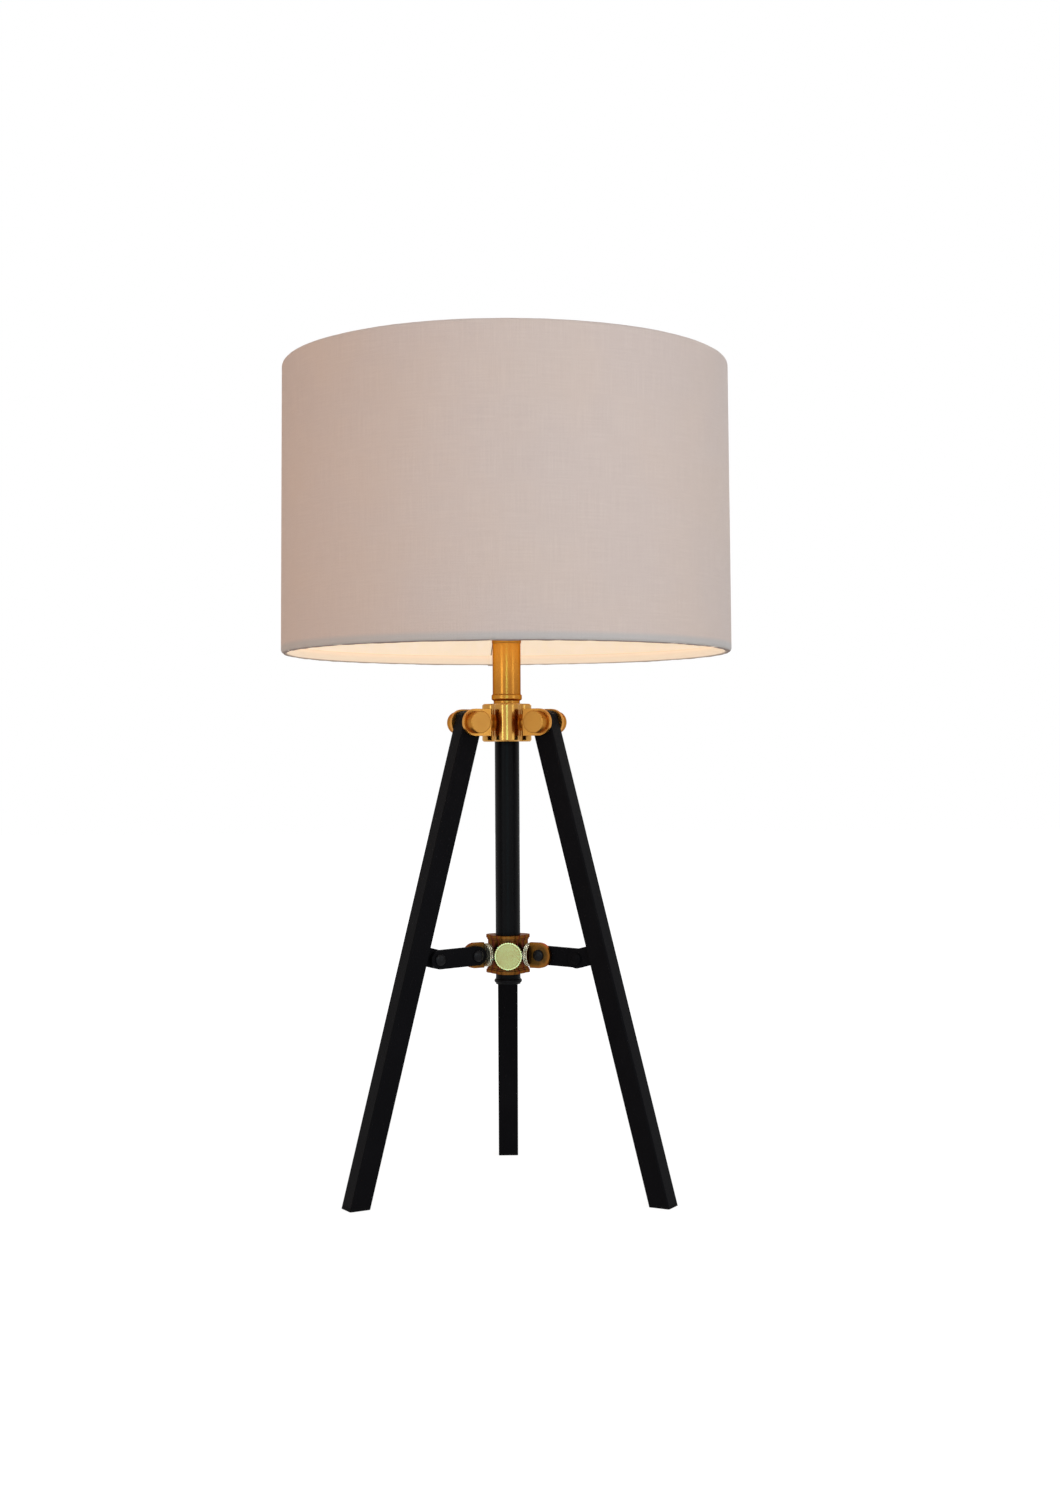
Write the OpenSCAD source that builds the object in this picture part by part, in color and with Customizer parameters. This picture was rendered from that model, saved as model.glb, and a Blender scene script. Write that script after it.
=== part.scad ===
// Table lamp on a folding tripod, with a drum shade.
// Origin on the table under the column, +Z up, the locking knob faces -Y.

/* [Shade] */
// Height of the shade's bottom edge above the table
shade_z = 456; // [450:0.5:464]
// Outside radius of the shade at its bottom edge
shade_bottom_r = 191; // [170:0.5:210]
// How much smaller the shade's radius is at its top edge
shade_taper = 2; // [0:0.5:20]
// Height of the shade
shade_h = 245; // [236:1:290]
// Thickness of the fabric cover
cover_t = 1.2; // [0.8:0.1:2]
// Thickness of the stiff white liner
liner_t = 0.8; // [0.5:0.1:1.5]
// Radius of the wire in the shade's rings
ring_wire_r = 1.4; // [1:0.1:2]
// Height of the hem outside and inside the edges
hem_h = 5; // [3:0.5:9]
// Thickness of the hem
hem_t = 0.5; // [0.3:0.1:1]
// Number of spider arms in the top ring
arm_count = 3; // [3:1:4]
// How far the spider's washer sits below the top edge
spider_drop = 22; // [20:0.5:32]
// Radius of the spider's washer
washer_r = 13; // [10:0.5:18]
// Thickness of the spider's washer
washer_t = 1.6; // [1:0.1:2.5]

/* [Harp and finial] */
// Radius of the harp's wire
harp_wire_r = 1.9; // [1.5:0.1:2.4]
// Distance of the harp's wire from the axis at the widest place
harp_wide_r = 48.5; // [46:0.5:54]
// Gap between the harp's sleeves and the socket's cap
harp_foot_gap = 1.8; // [0.8:0.1:3]
// Length of the flat stretch on each side of the harp's top
harp_flat_l = 8; // [7.5:0.5:12]
// Radius of the harp's top screw
harp_stud_r = 3.1; // [2.5:0.1:4]
// Length of the harp's top screw above its shoulder
harp_stud_l = 11; // [8:0.5:13]
// Largest radius of the finial
finial_r = 8.5; // [7:0.5:11]
// Height of the finial
finial_h = 20; // [18:0.5:30]
// Height of the saddle's upright posts
saddle_post_h = 10; // [8:0.5:14]
// Width of the saddle's strip
saddle_w = 12; // [11:0.5:18]
// Thickness of the saddle's strip
saddle_t = 1.5; // [1:0.1:2.5]

/* [Socket and bulb] */
// Outside radius of the socket's shell
socket_r = 18.5; // [17.5:0.1:21]
// Thickness of the socket's brass
socket_t = 0.7; // [0.5:0.1:1]
// Height of the socket's shell above its cap
shell_h = 42; // [40:0.5:48]
// Height of the socket's cap
socket_cap_h = 16; // [15:0.5:20]
// Radius of the bulb's metal base
bulb_base_r = 13; // [12.5:0.1:13.5]
// Height of the bulb's metal base
bulb_base_h = 25; // [23:0.5:28]
// Largest radius of the bulb's glass
bulb_r = 30; // [26:0.5:34]
// Height of the bulb above its base
bulb_h = 82; // [74:1:92]
// Thickness of the bulb's glass
glass_t = 0.8; // [0.6:0.1:1.2]
// Length of the switch key's stem outside the socket
key_stem_l = 9; // [6:0.5:14]
// Length of the switch key's grip
key_grip_l = 10; // [8:0.5:14]

/* [Neck] */
// Radius of the brass neck tube
neck_r = 12; // [11.5:0.1:14]
// Radius of the bead under the neck tube
neck_bead_r = 13; // [12.8:0.1:16]
// Height of that bead
neck_bead_h = 5; // [4:0.5:8]
// Height of the step between that bead and the hub
neck_step_h = 3; // [2:0.5:6]
// Height of the ring on top of the neck tube
neck_cap_h = 5; // [4:0.5:7]

/* [Hub and forks] */
// Height of the hub
hub_h = 32.3; // [28:0.1:40]
// Radius of each of the hub's lobes
hub_lobe_r = 11; // [10:0.1:12]
// Distance of the lobes' centres from the axis
hub_lobe_c = 11.7; // [11:0.1:13]
// Height of the leg pivots above the table
pivot_z = 397.4; // [380:0.1:402]
// Distance of the leg pivots from the axis
pivot_r = 37.3; // [35.5:0.1:44]
// Thickness of each fork plate
fork_t = 3.5; // [2.5:0.1:5]
// Half height of the fork plates, also the radius of their round ends
fork_end_r = 11.4; // [10:0.1:13]
// Distance of the fork's back from the axis
fork_back_r = 22.6; // [22:0.1:24]
// Thickness of the fork's web
web_t = 3.6; // [2.5:0.1:4]
// Radius of the pivot bolts' heads and nuts
head_r = 9.4; // [8:0.1:10.5]
// Height of the pivot bolts' heads and nuts
head_h = 9; // [5:0.5:11]
// Radius of the pivot bolts' shanks
bolt_r = 4; // [3:0.1:5]

/* [Legs] */
// Width of the square leg tube
leg_w = 17.8; // [14:0.1:18]
// Wall of the leg tube
leg_wall = 1.6; // [1:0.1:2.5]
// Radius of the leg tube's corners
leg_corner_r = 1.5; // [1:0.1:3]
// Distance of the feet's centres from the axis
foot_r = 145; // [138:0.5:160]
// Thickness of the foot caps
foot_t = 3; // [2:0.5:6]
// Length of the plugs inside the tubes' ends
plug_l = 16; // [12:0.5:30]
// How far the tube goes on above its pivot
leg_over = 4.5; // [3:0.1:5.5]

/* [Column] */
// Radius of the black column
column_r = 10.5; // [9.5:0.1:10.8]
// Wall of the column
column_wall = 1.6; // [1:0.1:2.2]
// Height of the column's bottom bead above the table
column_z = 174.6; // [150:0.1:178]
// Radius of the column's bottom bead
column_bead_r = 11.8; // [11.3:0.1:14]
// Height of the column's bottom bead
column_bead_h = 5.4; // [5:0.1:7]
// Outside radius of the threaded lamp pipe
pipe_r = 4.85; // [4.5:0.05:5.2]
// Bore radius of the threaded lamp pipe
pipe_bore_r = 3.8; // [3.5:0.1:4]
// Radius of the cord hole in the bottom bushing
cord_r = 3; // [2:0.1:3.2]

/* [Collar] */
// Height of the collar's bottom face above the table, legs spread
collar_z = 184; // [181.5:0.1:190]
// Height of the collar
collar_h = 32.4; // [31:0.1:38]
// Radius of each of the collar's lobes
collar_lobe_r = 8.6; // [8:0.1:9.5]
// Distance of the lobes' centres from the axis
collar_lobe_c = 9.9; // [9.5:0.1:11]
// Radius of the collar's round core
collar_core_r = 13.6; // [13:0.1:14.2]
// How far the rims at the collar's ends stand out
rim_out = 1.5; // [0.8:0.1:2]
// Height of each rim
rim_h = 2.6; // [1.5:0.1:3.5]
// Height of the step behind each rim
rim_step_h = 1.4; // [0.8:0.1:2]
// How far that step stands out
rim_step_out = 0.7; // [0.4:0.1:0.7]
// Radius of the locking knob
knob_r = 11.7; // [10:0.1:11.9]
// Thickness of the locking knob
knob_t = 5.6; // [4:0.1:8]
// Radius of the locking screw
knob_screw_r = 3; // [2.5:0.1:4]

/* [Lugs and links] */
// Radius of the lugs' knurled flanges
flange_r = 9.8; // [8:0.1:10.5]
// Thickness of the lugs' knurled flanges
flange_t = 4.2; // [3:0.1:4.4]
// Distance of the flanges' backs from the axis
flange_back_r = 19; // [18:0.1:19.2]
// Distance of the lug pivots from the axis
lug_pivot_r = 31.8; // [31.7:0.1:34]
// Half height of the lug tongues, also the radius of their round ends
tongue_r = 10.75; // [8.5:0.05:11]
// Thickness of the lug tongues, the links and the leg tabs
plate_t = 4; // [3:0.1:5]
// Half width of the links and tabs, also the radius of their round ends
link_end_r = 8; // [6.5:0.1:8]
// Distance between a link's two holes
link_l = 36.1; // [34:0.1:38]
// Slope of the links when the legs are spread
link_slope = 2; // [0:0.5:4]
// Radius of the link screws
screw_r = 2.5; // [2:0.1:3]
// Radius of the link screws' heads
screw_head_r = 4.9; // [4:0.1:6]
// Height of the link screws' heads
screw_head_h = 2.8; // [2:0.1:4]

/* [Fits] */
// Gap on the radius between a moving shaft and its hole
run_gap = 0.05; // [0.02:0.01:0.08]
// Gap between flat faces that slide past each other
side_gap = 0.2; // [0.1:0.05:0.3]
// Gap between the leg and each fork plate
fork_gap = 0.3; // [0.2:0.05:0.5]
// Gap between parts that are put together and stay
fixed_gap = 0.1; // [0.05:0.05:0.2]

/* [Hidden] */

$fn = 64;
round_fn = 180;
ring_fn = 96;
eps = 0.01;

leg_angles = [210, -30, 90];
lobe_angles = [30, 150, 270];
front_angle = 270;

brass = [0.78, 0.55, 0.22];
pale_brass = [0.80, 0.78, 0.50];
black = [0.08, 0.08, 0.09];
steel = [0.70, 0.71, 0.72];
linen = [0.77, 0.72, 0.69];
cream = [0.96, 0.93, 0.87];

// Heights worked out from the sizes above
hub_z = pivot_z - hub_h / 2;
hub_top_z = hub_z + hub_h;
column_seat = 12;
neck_bead_z = hub_top_z + neck_step_h;
neck_z = neck_bead_z + neck_bead_h;
neck_in_l = 9;
neck_top_z = shade_z + neck_in_l;
saddle_z = neck_top_z + neck_cap_h;
socket_z = saddle_z + saddle_t;
shell_z = socket_z + socket_cap_h - 3;
shell_top_z = shell_z + shell_h;
shade_top_z = shade_z + shade_h;
washer_z = shade_top_z - spider_drop;
cap_r = socket_r + fixed_gap + socket_t;
shoulder_h = 2.5;
shoulder_r = 6.5;
harp_top_z = washer_z - shoulder_h;
post_top_z = saddle_z + saddle_t + saddle_post_h;

// The leg in its own frame: origin at the pivot, -Z down the tube
leg_tilt = atan((foot_r - pivot_r) / pivot_z);
leg_l = pivot_z / cos(leg_tilt);
leg_in = leg_w - 2 * leg_wall;
eye_rise = 0.3;
leg_eye_r = norm([leg_w / 2, leg_over + eye_rise]);
fork_in = leg_w / 2 + fork_gap;
fork_out = fork_in + fork_t;

// The open end of each link, and the same point in the leg's frame
lug_z = collar_z + collar_h / 2;
tab_r = lug_pivot_r + link_l * cos(link_slope);
tab_z = lug_z - link_l * sin(link_slope);
tab_x = (tab_r - pivot_r) * cos(leg_tilt) + (tab_z - pivot_z) * sin(leg_tilt);
tab_down = (tab_r - pivot_r) * sin(leg_tilt) - (tab_z - pivot_z) * cos(leg_tilt);

// A rounded corner of a turned profile, from angle a to angle b
function corner(x, y, r, a, b, n = 5) =
  [for (i = [0:n]) [x + r * cos(a + (b - a) * i / n), y + r * sin(a + (b - a) * i / n)]];

module turned(points) rotate_extrude() polygon(points);

module ring(r_out, r_in, z, h) translate([0, 0, z]) difference() {
  cylinder(r = r_out, h = h);
  translate([0, 0, -eps]) cylinder(r = r_in, h = h + 2 * eps);
}

// A cylinder along +X from x0 to x1
module along_x(r, x0, x1) translate([x0, 0, 0]) rotate([0, 90, 0]) cylinder(r = r, h = x1 - x0);

// A cylinder along +Y from y0 to y1
module along_y(r, y0, y1) translate([0, y0, 0]) rotate([-90, 0, 0]) cylinder(r = r, h = y1 - y0);

// The frame of a leg's side: +X outward, +Y along the pivot's axis
module at_side(k) rotate([0, 0, leg_angles[k]]) children();
module at_pivot(k) at_side(k) translate([pivot_r, 0, pivot_z]) children();
module at_leg(k) at_pivot(k) rotate([0, -leg_tilt, 0]) children();
module at_lug(k) at_side(k) translate([lug_pivot_r, 0, lug_z]) children();
module at_tab(k) at_side(k) translate([tab_r, 0, tab_z]) children();

// Slices of a round shape from z = 0 up, each [bottom radius, top radius, height]
module slices(list, i = 0) if (i < len(list)) {
  cylinder(r1 = list[i][0], r2 = list[i][1], h = list[i][2]);
  translate([0, 0, list[i][2]]) slices(list, i + 1);
}

// A square with round corners
module round_square(w, r) {
  square([w, w - 2 * r], center = true);
  square([w - 2 * r, w], center = true);
  for (x = [-1, 1], y = [-1, 1]) translate([x, y] * (w / 2 - r)) circle(r = r, $fn = 32);
}

// A round edge with teeth, cut as straight knurling along +X
module knurled(r, x0, x1, teeth = 36, depth = 0.45) translate([x0, 0, 0]) rotate([90, 0, 90])
  linear_extrude(height = x1 - x0)
    polygon([for (i = [0:2 * teeth - 1]) let (a = i * 180 / teeth)
      (r - (i % 2) * depth) * [cos(a), sin(a)]]);

// A pivot head: a thick disc with a small rounded edge, along +Y from y = 0
module pivot_head() rotate([-90, 0, 0])
  turned(concat([[0, 0], [head_r, 0]], corner(head_r - 0.8, head_h - 0.8, 0.8, 0, 90), [[0, head_h]]));

// A low domed screw head along +Y from y = 0
module button_head(r = screw_head_r, h = screw_head_h) rotate([-90, 0, 0])
  turned(concat([[0, 0], [r, 0]], [for (i = [0:6]) [r * cos(15 * i), 0.6 + (h - 0.6) * sin(15 * i)]]));

// Hub

module hub() color(brass) difference() {
  union() {
    for (a = lobe_angles) rotate([0, 0, a]) translate([hub_lobe_c, 0, hub_z]) slices([
      [hub_lobe_r - hub_bevel, hub_lobe_r, hub_bevel],
      [hub_lobe_r, hub_lobe_r, hub_h - 2 * hub_bevel],
      [hub_lobe_r, hub_lobe_r - hub_bevel, hub_bevel]]);
    translate([0, 0, hub_z]) cylinder(r = hub_core_r, h = hub_h);
  }
  translate([0, 0, hub_z - eps]) cylinder(r = column_r, h = column_seat + eps);
  translate([0, 0, hub_z]) cylinder(r = pipe_r + fixed_gap, h = hub_h + eps);
  for (k = [0:2]) at_pivot(k) along_x(fork_stem_r, stem_in_r - pivot_r, 0);
}
hub_core_r = 14;
hub_bevel = 1.2;
fork_stem_r = 7;
stem_in_r = 11.6;

module hub_fork(k) color(brass) at_pivot(k) difference() {
  union() {
    for (s = [-1, 1]) {
      y = s > 0 ? fork_in : -fork_out;
      along_y(fork_end_r, y, y + fork_t);
      translate([fork_back_r - pivot_r, y, -fork_end_r])
        cube([pivot_r - fork_back_r, fork_t, 2 * fork_end_r]);
    }
    translate([fork_back_r - pivot_r, -fork_in, -fork_end_r]) cube([web_t, 2 * fork_in, 2 * fork_end_r]);
    along_x(fork_stem_r, stem_in_r - pivot_r, fork_back_r - pivot_r);
  }
  along_y(bolt_r, -fork_out - eps, fork_out + eps);
}

module pivot_bolts() color(brass) for (k = [0:2]) at_pivot(k) {
  along_y(bolt_r, -fork_out, fork_out);
  mirror([0, 1, 0]) translate([0, fork_out, 0]) pivot_head();
}

module pivot_nuts() color(brass) for (k = [0:2]) at_pivot(k) translate([0, fork_out, 0]) pivot_head();

// Column

column_tube_z = column_z + column_bead_h;
module column() color(black)
  ring(column_r, column_r - column_wall, column_tube_z, hub_z + column_seat - column_tube_z);

bead_spigot_h = 14;
nut_af = 12;
nut_h = 4;
bushing_flange_t = 1.4;
pipe_z = column_z + 0.4 + bushing_flange_t;
module column_end_bead() color(black) translate([0, 0, column_z]) difference() {
  turned(concat(
    [[0, 0], [column_r, 0]],
    corner(column_bead_r - 1.9, column_bead_h / 2, 1.9, -70, 70, 8),
    [[column_r + 0.1, column_bead_h], [column_r - column_wall, column_bead_h],
     [column_r - column_wall, column_bead_h + bead_spigot_h], [0, column_bead_h + bead_spigot_h]]));
  translate([0, 0, -eps]) cylinder(r = bead_recess_r, h = nut_h + 1.8 + eps);
  translate([0, 0, -eps]) cylinder(r = pipe_r + fixed_gap, h = column_bead_h + bead_spigot_h + 1);
}
bead_recess_r = nut_af / sqrt(3) + 0.3;

module pipe_nut() color(steel) translate([0, 0, column_z + 1.8]) difference() {
  cylinder(r = nut_af / sqrt(3), h = nut_h, $fn = 6);
  translate([0, 0, -eps]) cylinder(r = pipe_r, h = nut_h + 2 * eps);
}

module cord_bushing() color(black) difference() {
  union() {
    translate([0, 0, pipe_z - bushing_flange_t]) cylinder(r = pipe_r + 0.8, h = bushing_flange_t);
    translate([0, 0, pipe_z]) cylinder(r = pipe_bore_r, h = 8);
  }
  translate([0, 0, pipe_z - bushing_flange_t - eps]) cylinder(r = cord_r, h = 10 + bushing_flange_t);
}

module lamp_pipe() color(steel) ring(pipe_r, pipe_bore_r, pipe_z, socket_z + 6 - pipe_z);

// Neck

module neck_bead() color(brass) difference() {
  turned(concat(
    [[0, hub_top_z], [neck_r - 0.8, hub_top_z], [neck_r - 0.8, neck_bead_z - 0.6]],
    corner(neck_bead_r - 1.5, neck_bead_z + 1.5, 1.5, -70, 0, 4),
    corner(neck_bead_r - 1.2, neck_z - 1.2, 1.2, 0, 80, 4),
    [[neck_r - neck_wall, neck_z], [neck_r - neck_wall, neck_z + 4], [0, neck_z + 4]]));
  translate([0, 0, hub_top_z - eps]) cylinder(r = pipe_r + fixed_gap, h = neck_z + 5 - hub_top_z);
}
neck_wall = 1.2;

module neck_tube() color(brass) ring(neck_r, neck_r - neck_wall, neck_z, neck_top_z - neck_z);

module neck_top_ring() color(brass) difference() {
  turned(concat(
    [[0, neck_top_z - 4], [neck_r - neck_wall, neck_top_z - 4], [neck_r - neck_wall, neck_top_z]],
    corner(neck_r + 0.5 - 0.9, neck_top_z + 0.9, 0.9, -90, 0, 4),
    corner(neck_r + 0.5 - 0.9, saddle_z - 0.9, 0.9, 0, 90, 4), [[0, saddle_z]]));
  translate([0, 0, neck_top_z - 5]) cylinder(r = pipe_r + fixed_gap, h = neck_cap_h + 6);
}

// Harp: a path of straights and arcs from the top's middle to one foot.
// Each step is [length or radius, turn]; a turn of 0 is a straight.
arc_top_r = 14;
arc_low_r = 36;
arc_foot_r = 12;
turn_top = 62;
turn_long = 90 - turn_top;
arc_long_r = (harp_wide_r - harp_flat_l - arc_top_r * sin(turn_top)) / (1 - sin(turn_top));
sleeve_t = 1.5;
sleeve_r_out = harp_wire_r + sleeve_t;
harp_foot_x = cap_r + harp_foot_gap + sleeve_r_out;
turn_low = acos(1 - (harp_wide_r - harp_foot_x) / (arc_low_r + arc_foot_r));
foot_straight_l = 12;
arcs_h = arc_top_r * (1 - cos(turn_top))
  + arc_long_r * cos(turn_top)
  + (arc_low_r + arc_foot_r) * sin(turn_low);
side_straight_l = harp_top_z - post_top_z - arcs_h - foot_straight_l - fixed_gap;
HARP_STEPS = [
  [harp_flat_l, 0], [arc_top_r, turn_top], [arc_long_r, turn_long], [side_straight_l, 0],
  [arc_low_r, turn_low], [arc_foot_r, -turn_low], [foot_straight_l, 0]
];

// A point of the path is [x, z, heading]; a turn above 0 bends towards -Z
function after(p, l, turn) = turn == 0
  ? [p[0] + l * cos(p[2]), p[1] + l * sin(p[2]), p[2]]
  : let (side = sign(turn), a = p[2] - turn)
    [p[0] + side * l * (sin(p[2]) - sin(a)), p[1] - side * l * (cos(p[2]) - cos(a)), a];

// Arcs cut into short turns, then walked from the top's middle
arc_step = 6;
function short_steps(steps) = [for (s = steps) each s[1] == 0 ? [s]
  : let (n = ceil(abs(s[1]) / arc_step)) [for (i = [1:n]) [s[0], s[1] / n]]];
function walk(steps, p = [0, 0, 0], i = 0) = i == len(steps) ? [p]
  : concat([p], walk(steps, after(p, steps[i][0], steps[i][1]), i + 1));

// A round wire along a path in the X-Z plane
wire_sides = 12;
module wire(path, r) {
  points = [for (p = path, k = [0:wire_sides - 1]) let (a = 360 * k / wire_sides)
    [p[0] - r * cos(a) * sin(p[2]), -r * sin(a), p[1] + r * cos(a) * cos(p[2])]];
  last = (len(path) - 1) * wire_sides;
  sides = [for (j = [0:len(path) - 2], k = [0:wire_sides - 1])
    let (a = j * wire_sides, b = a + wire_sides, n = (k + 1) % wire_sides) [a + k, b + k, b + n, a + n]];
  ends = [[for (k = [0:wire_sides - 1]) k], [for (k = [wire_sides - 1:-1:0]) last + k]];
  polyhedron(points, concat(ends, sides));
}

shoulder_under_h = harp_wire_r + 0.6;
module harp() color(brass) translate([0, 0, harp_top_z]) {
  half = walk(short_steps(HARP_STEPS));
  wire(concat([for (i = [len(half) - 1:-1:1]) [-half[i][0], half[i][1], -half[i][2]]], half), harp_wire_r);
  translate([0, 0, -shoulder_under_h]) cylinder(r = shoulder_r, h = shoulder_under_h + shoulder_h);
  translate([0, 0, shoulder_h]) cylinder(r = harp_stud_r, h = harp_stud_l);
}

module harp_saddle() color(brass) difference() {
  union() {
    translate([-harp_foot_x, -saddle_w / 2, saddle_z]) cube([2 * harp_foot_x, saddle_w, saddle_t]);
    for (x = [-1, 1]) translate([x * harp_foot_x, 0, saddle_z]) {
      cylinder(r = saddle_w / 2, h = saddle_t);
      cylinder(r = harp_wire_r, h = saddle_t + saddle_post_h);
    }
  }
  translate([0, 0, saddle_z - eps]) cylinder(r = pipe_r + fixed_gap, h = saddle_t + 2 * eps);
}

sleeve_h = 14;
module harp_sleeves() color(brass) for (x = [-1, 1]) translate([x * harp_foot_x, 0, 0])
  ring(sleeve_r_out, harp_wire_r + fixed_gap, saddle_z + saddle_t + fixed_gap, sleeve_h);

module finial() color(brass) translate([0, 0, washer_z + washer_t + fixed_gap]) difference() {
  turned(concat(
    [[0, 0], [finial_r - 1, 0], [finial_r - 1, 2], [finial_r * 0.55, 3.4], [finial_r * 0.5, 5]],
    [for (i = [0:10]) [
      finial_r * cos(-50 + 14 * i),
      5 + (finial_h - 5) * (sin(-50 + 14 * i) + sin(50)) / (1 + sin(50))]],
    [[0, finial_h]]));
  translate([0, 0, -eps]) cylinder(r = harp_stud_r + fixed_gap, h = finial_bore_h);
}
finial_bore_h = harp_stud_l - washer_t + 1;

// Socket

module socket_cap() color(brass) translate([0, 0, socket_z]) difference() {
  turned(concat(
    [[0, 0], [cap_foot_r, 0], [cap_foot_r + 1, cap_foot_h]],
    corner(cap_r - cap_curve_r, socket_cap_h - cap_side_h, cap_curve_r, -60, 0, 6),
    [[cap_r, socket_cap_h], [0, socket_cap_h]]));
  turned(concat(
    [[0, cap_floor_t], [cap_foot_r - 2.5, cap_floor_t], [cap_foot_r, cap_foot_h + 0.9]],
    corner(cap_r - cap_curve_r, socket_cap_h - cap_side_h, cap_curve_r - socket_t, -60, 0, 6),
    [[cap_r - socket_t, socket_cap_h + 1], [0, socket_cap_h + 1]]));
  translate([0, 0, -eps]) cylinder(r = pipe_r, h = 2 * cap_floor_t);
}

cap_curve_r = 8;
cap_side_h = 6;
cap_foot_r = 8.5;
cap_foot_h = 2.5;
cap_floor_t = 1.5;

// The open shell with a bead near its mouth and a hole for the key
module socket_shell() color(brass) difference() {
  union() {
    translate([0, 0, shell_z]) cylinder(r = socket_r, h = shell_h);
    translate([0, 0, shell_top_z - 6]) turned(concat([[0, -1.4]],
      corner(socket_r - 0.7, 0, 1.5, -60, 60, 6), [[0, 1.4]]));
  }
  translate([0, 0, shell_z - eps]) cylinder(r = socket_r - socket_t, h = shell_h + 1);
  key_hole();
}

sleeve_r = socket_r - socket_t - fixed_gap;
module socket_sleeve() color(cream) difference() {
  ring(sleeve_r, sleeve_r - 0.6, shell_z + 1, shell_h - 3);
  key_hole();
}

body_h = 18;
body_z = shell_z + 2;
body_r = sleeve_r - 0.6 - fixed_gap;
module socket_body() color(black) difference() {
  union() {
    translate([0, 0, body_z]) cylinder(r = body_r, h = body_h);
    translate([0, 0, body_z + body_h - eps]) cylinder(r = 4, h = 1.2);
  }
  key_hole();
}

screw_shell_t = 0.5;
screw_shell_r = bulb_base_r + 0.35;
module socket_screw_shell() color(pale_brass)
  ring(screw_shell_r + screw_shell_t, screw_shell_r, body_z + body_h, shell_top_z - 4 - body_z - body_h);

key_z = body_z + body_h / 2;
key_r = 2.3;
key_depth = 9;
module key_hole() translate([0, 0, key_z])
  along_y(key_r + run_gap, -socket_r - 2, -body_r + key_depth);

module switch_key() color(black) translate([0, 0, key_z]) {
  along_y(key_r, -socket_r - key_stem_l, -body_r + key_depth - side_gap);
  translate([0, -socket_r - key_stem_l, 0]) {
    mirror([0, 1, 0]) along_y(key_r + 1, 0, key_grip_l * 0.4);
    intersection() {
      translate([0, -key_grip_l * 0.55, 0]) cube([4, key_grip_l * 0.9, 14], center = true);
      translate([-5, -key_grip_l * 0.55, 0]) along_x(key_grip_l * 0.52, 0, 10);
    }
  }
}

base_z = body_z + body_h + 1.2 + 0.2;
glass_z = base_z + bulb_base_h;
module bulb_base() color(steel) translate([0, 0, base_z]) difference() {
  turned([
    [0, 0], [4.5, 0], [5, 1.2], [9, 3], [bulb_base_r - 1.2, 4.5], [bulb_base_r, 5.5],
    [bulb_base_r, bulb_base_h], [0, bulb_base_h]]);
  turned([
    [0, 2], [3, 2], [bulb_base_r - 1, 6.5],
    [bulb_base_r - 1, bulb_base_h + 1], [0, bulb_base_h + 1]]);
}

// The glass: a short neck that swells into a ball along a curve through three points
ball_z = bulb_h - bulb_r;
swell_a = 35;
function curve(a, b, c, u) = a * pow(1 - u, 2) + 2 * u * (1 - u) * b + c * u * u;
function glass_profile(t, z0) = concat(
  [[0, z0], [bulb_base_r - 1.1 - t, z0], [bulb_base_r - 1.1 - t, 1], [glass_neck_r - t, 3]],
  [for (i = [1:5]) [
    curve(glass_neck_r, glass_neck_r + 1.4, bulb_r * cos(swell_a), i / 6) - t,
    curve(3, ball_z - bulb_r, ball_z - bulb_r * sin(swell_a), i / 6)]],
  corner(0, ball_z, bulb_r - t, -swell_a, 90, 18));
glass_neck_r = bulb_base_r + 0.6;
neck_down_h = 6;
module bulb_glass() color(cream) translate([0, 0, glass_z]) difference() {
  turned(glass_profile(0, -neck_down_h));
  turned(glass_profile(glass_t, -neck_down_h - 1));
}

// Shade

function shade_r(z) = shade_bottom_r - shade_taper * (z - shade_z) / shade_h;

// A drum-shaped skin between two insets from the outside
module drum(out, in, z0, z1) rotate_extrude($fn = round_fn) polygon([
  [shade_r(z0) - in, z0], [shade_r(z0) - out, z0], [shade_r(z1) - out, z1], [shade_r(z1) - in, z1]]);

module shade_cover() color(linen) drum(0, cover_t, shade_z + hem_t, shade_top_z - hem_t);

liner_in = cover_t + 0.05 + liner_t;
module shade_liner() color(cream) drum(cover_t + 0.05, liner_in, shade_z + hem_t, shade_top_z - hem_t);

// The hem folds over an edge: a channel with its open side towards the shade's middle
module hem(z0, z1, edge_z0, edge_z1) color(linen) {
  drum(-hem_t, -0.02, z0, z1);
  drum(liner_in + 0.02, liner_in + 0.02 + hem_t, z0, z1);
  drum(-hem_t, liner_in + 0.02 + hem_t, edge_z0, edge_z1);
}
module shade_bottom_hem() hem(shade_z, shade_z + hem_h, shade_z, shade_z + hem_t);
module shade_top_hem() hem(shade_top_z - hem_h, shade_top_z, shade_top_z - hem_t, shade_top_z);

ring_inset = liner_in + hem_t + 0.05 + ring_wire_r;
module wire_ring(z) translate([0, 0, z]) rotate_extrude($fn = ring_fn)
  translate([shade_r(z) - ring_inset, 0]) circle(r = ring_wire_r, $fn = 16);

module shade_bottom_ring() color(steel) wire_ring(shade_z + hem_h / 2 + ring_wire_r);

top_ring_z = shade_top_z - hem_h / 2 - ring_wire_r;
module shade_top_ring() color(steel) wire_ring(top_ring_z);

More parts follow.
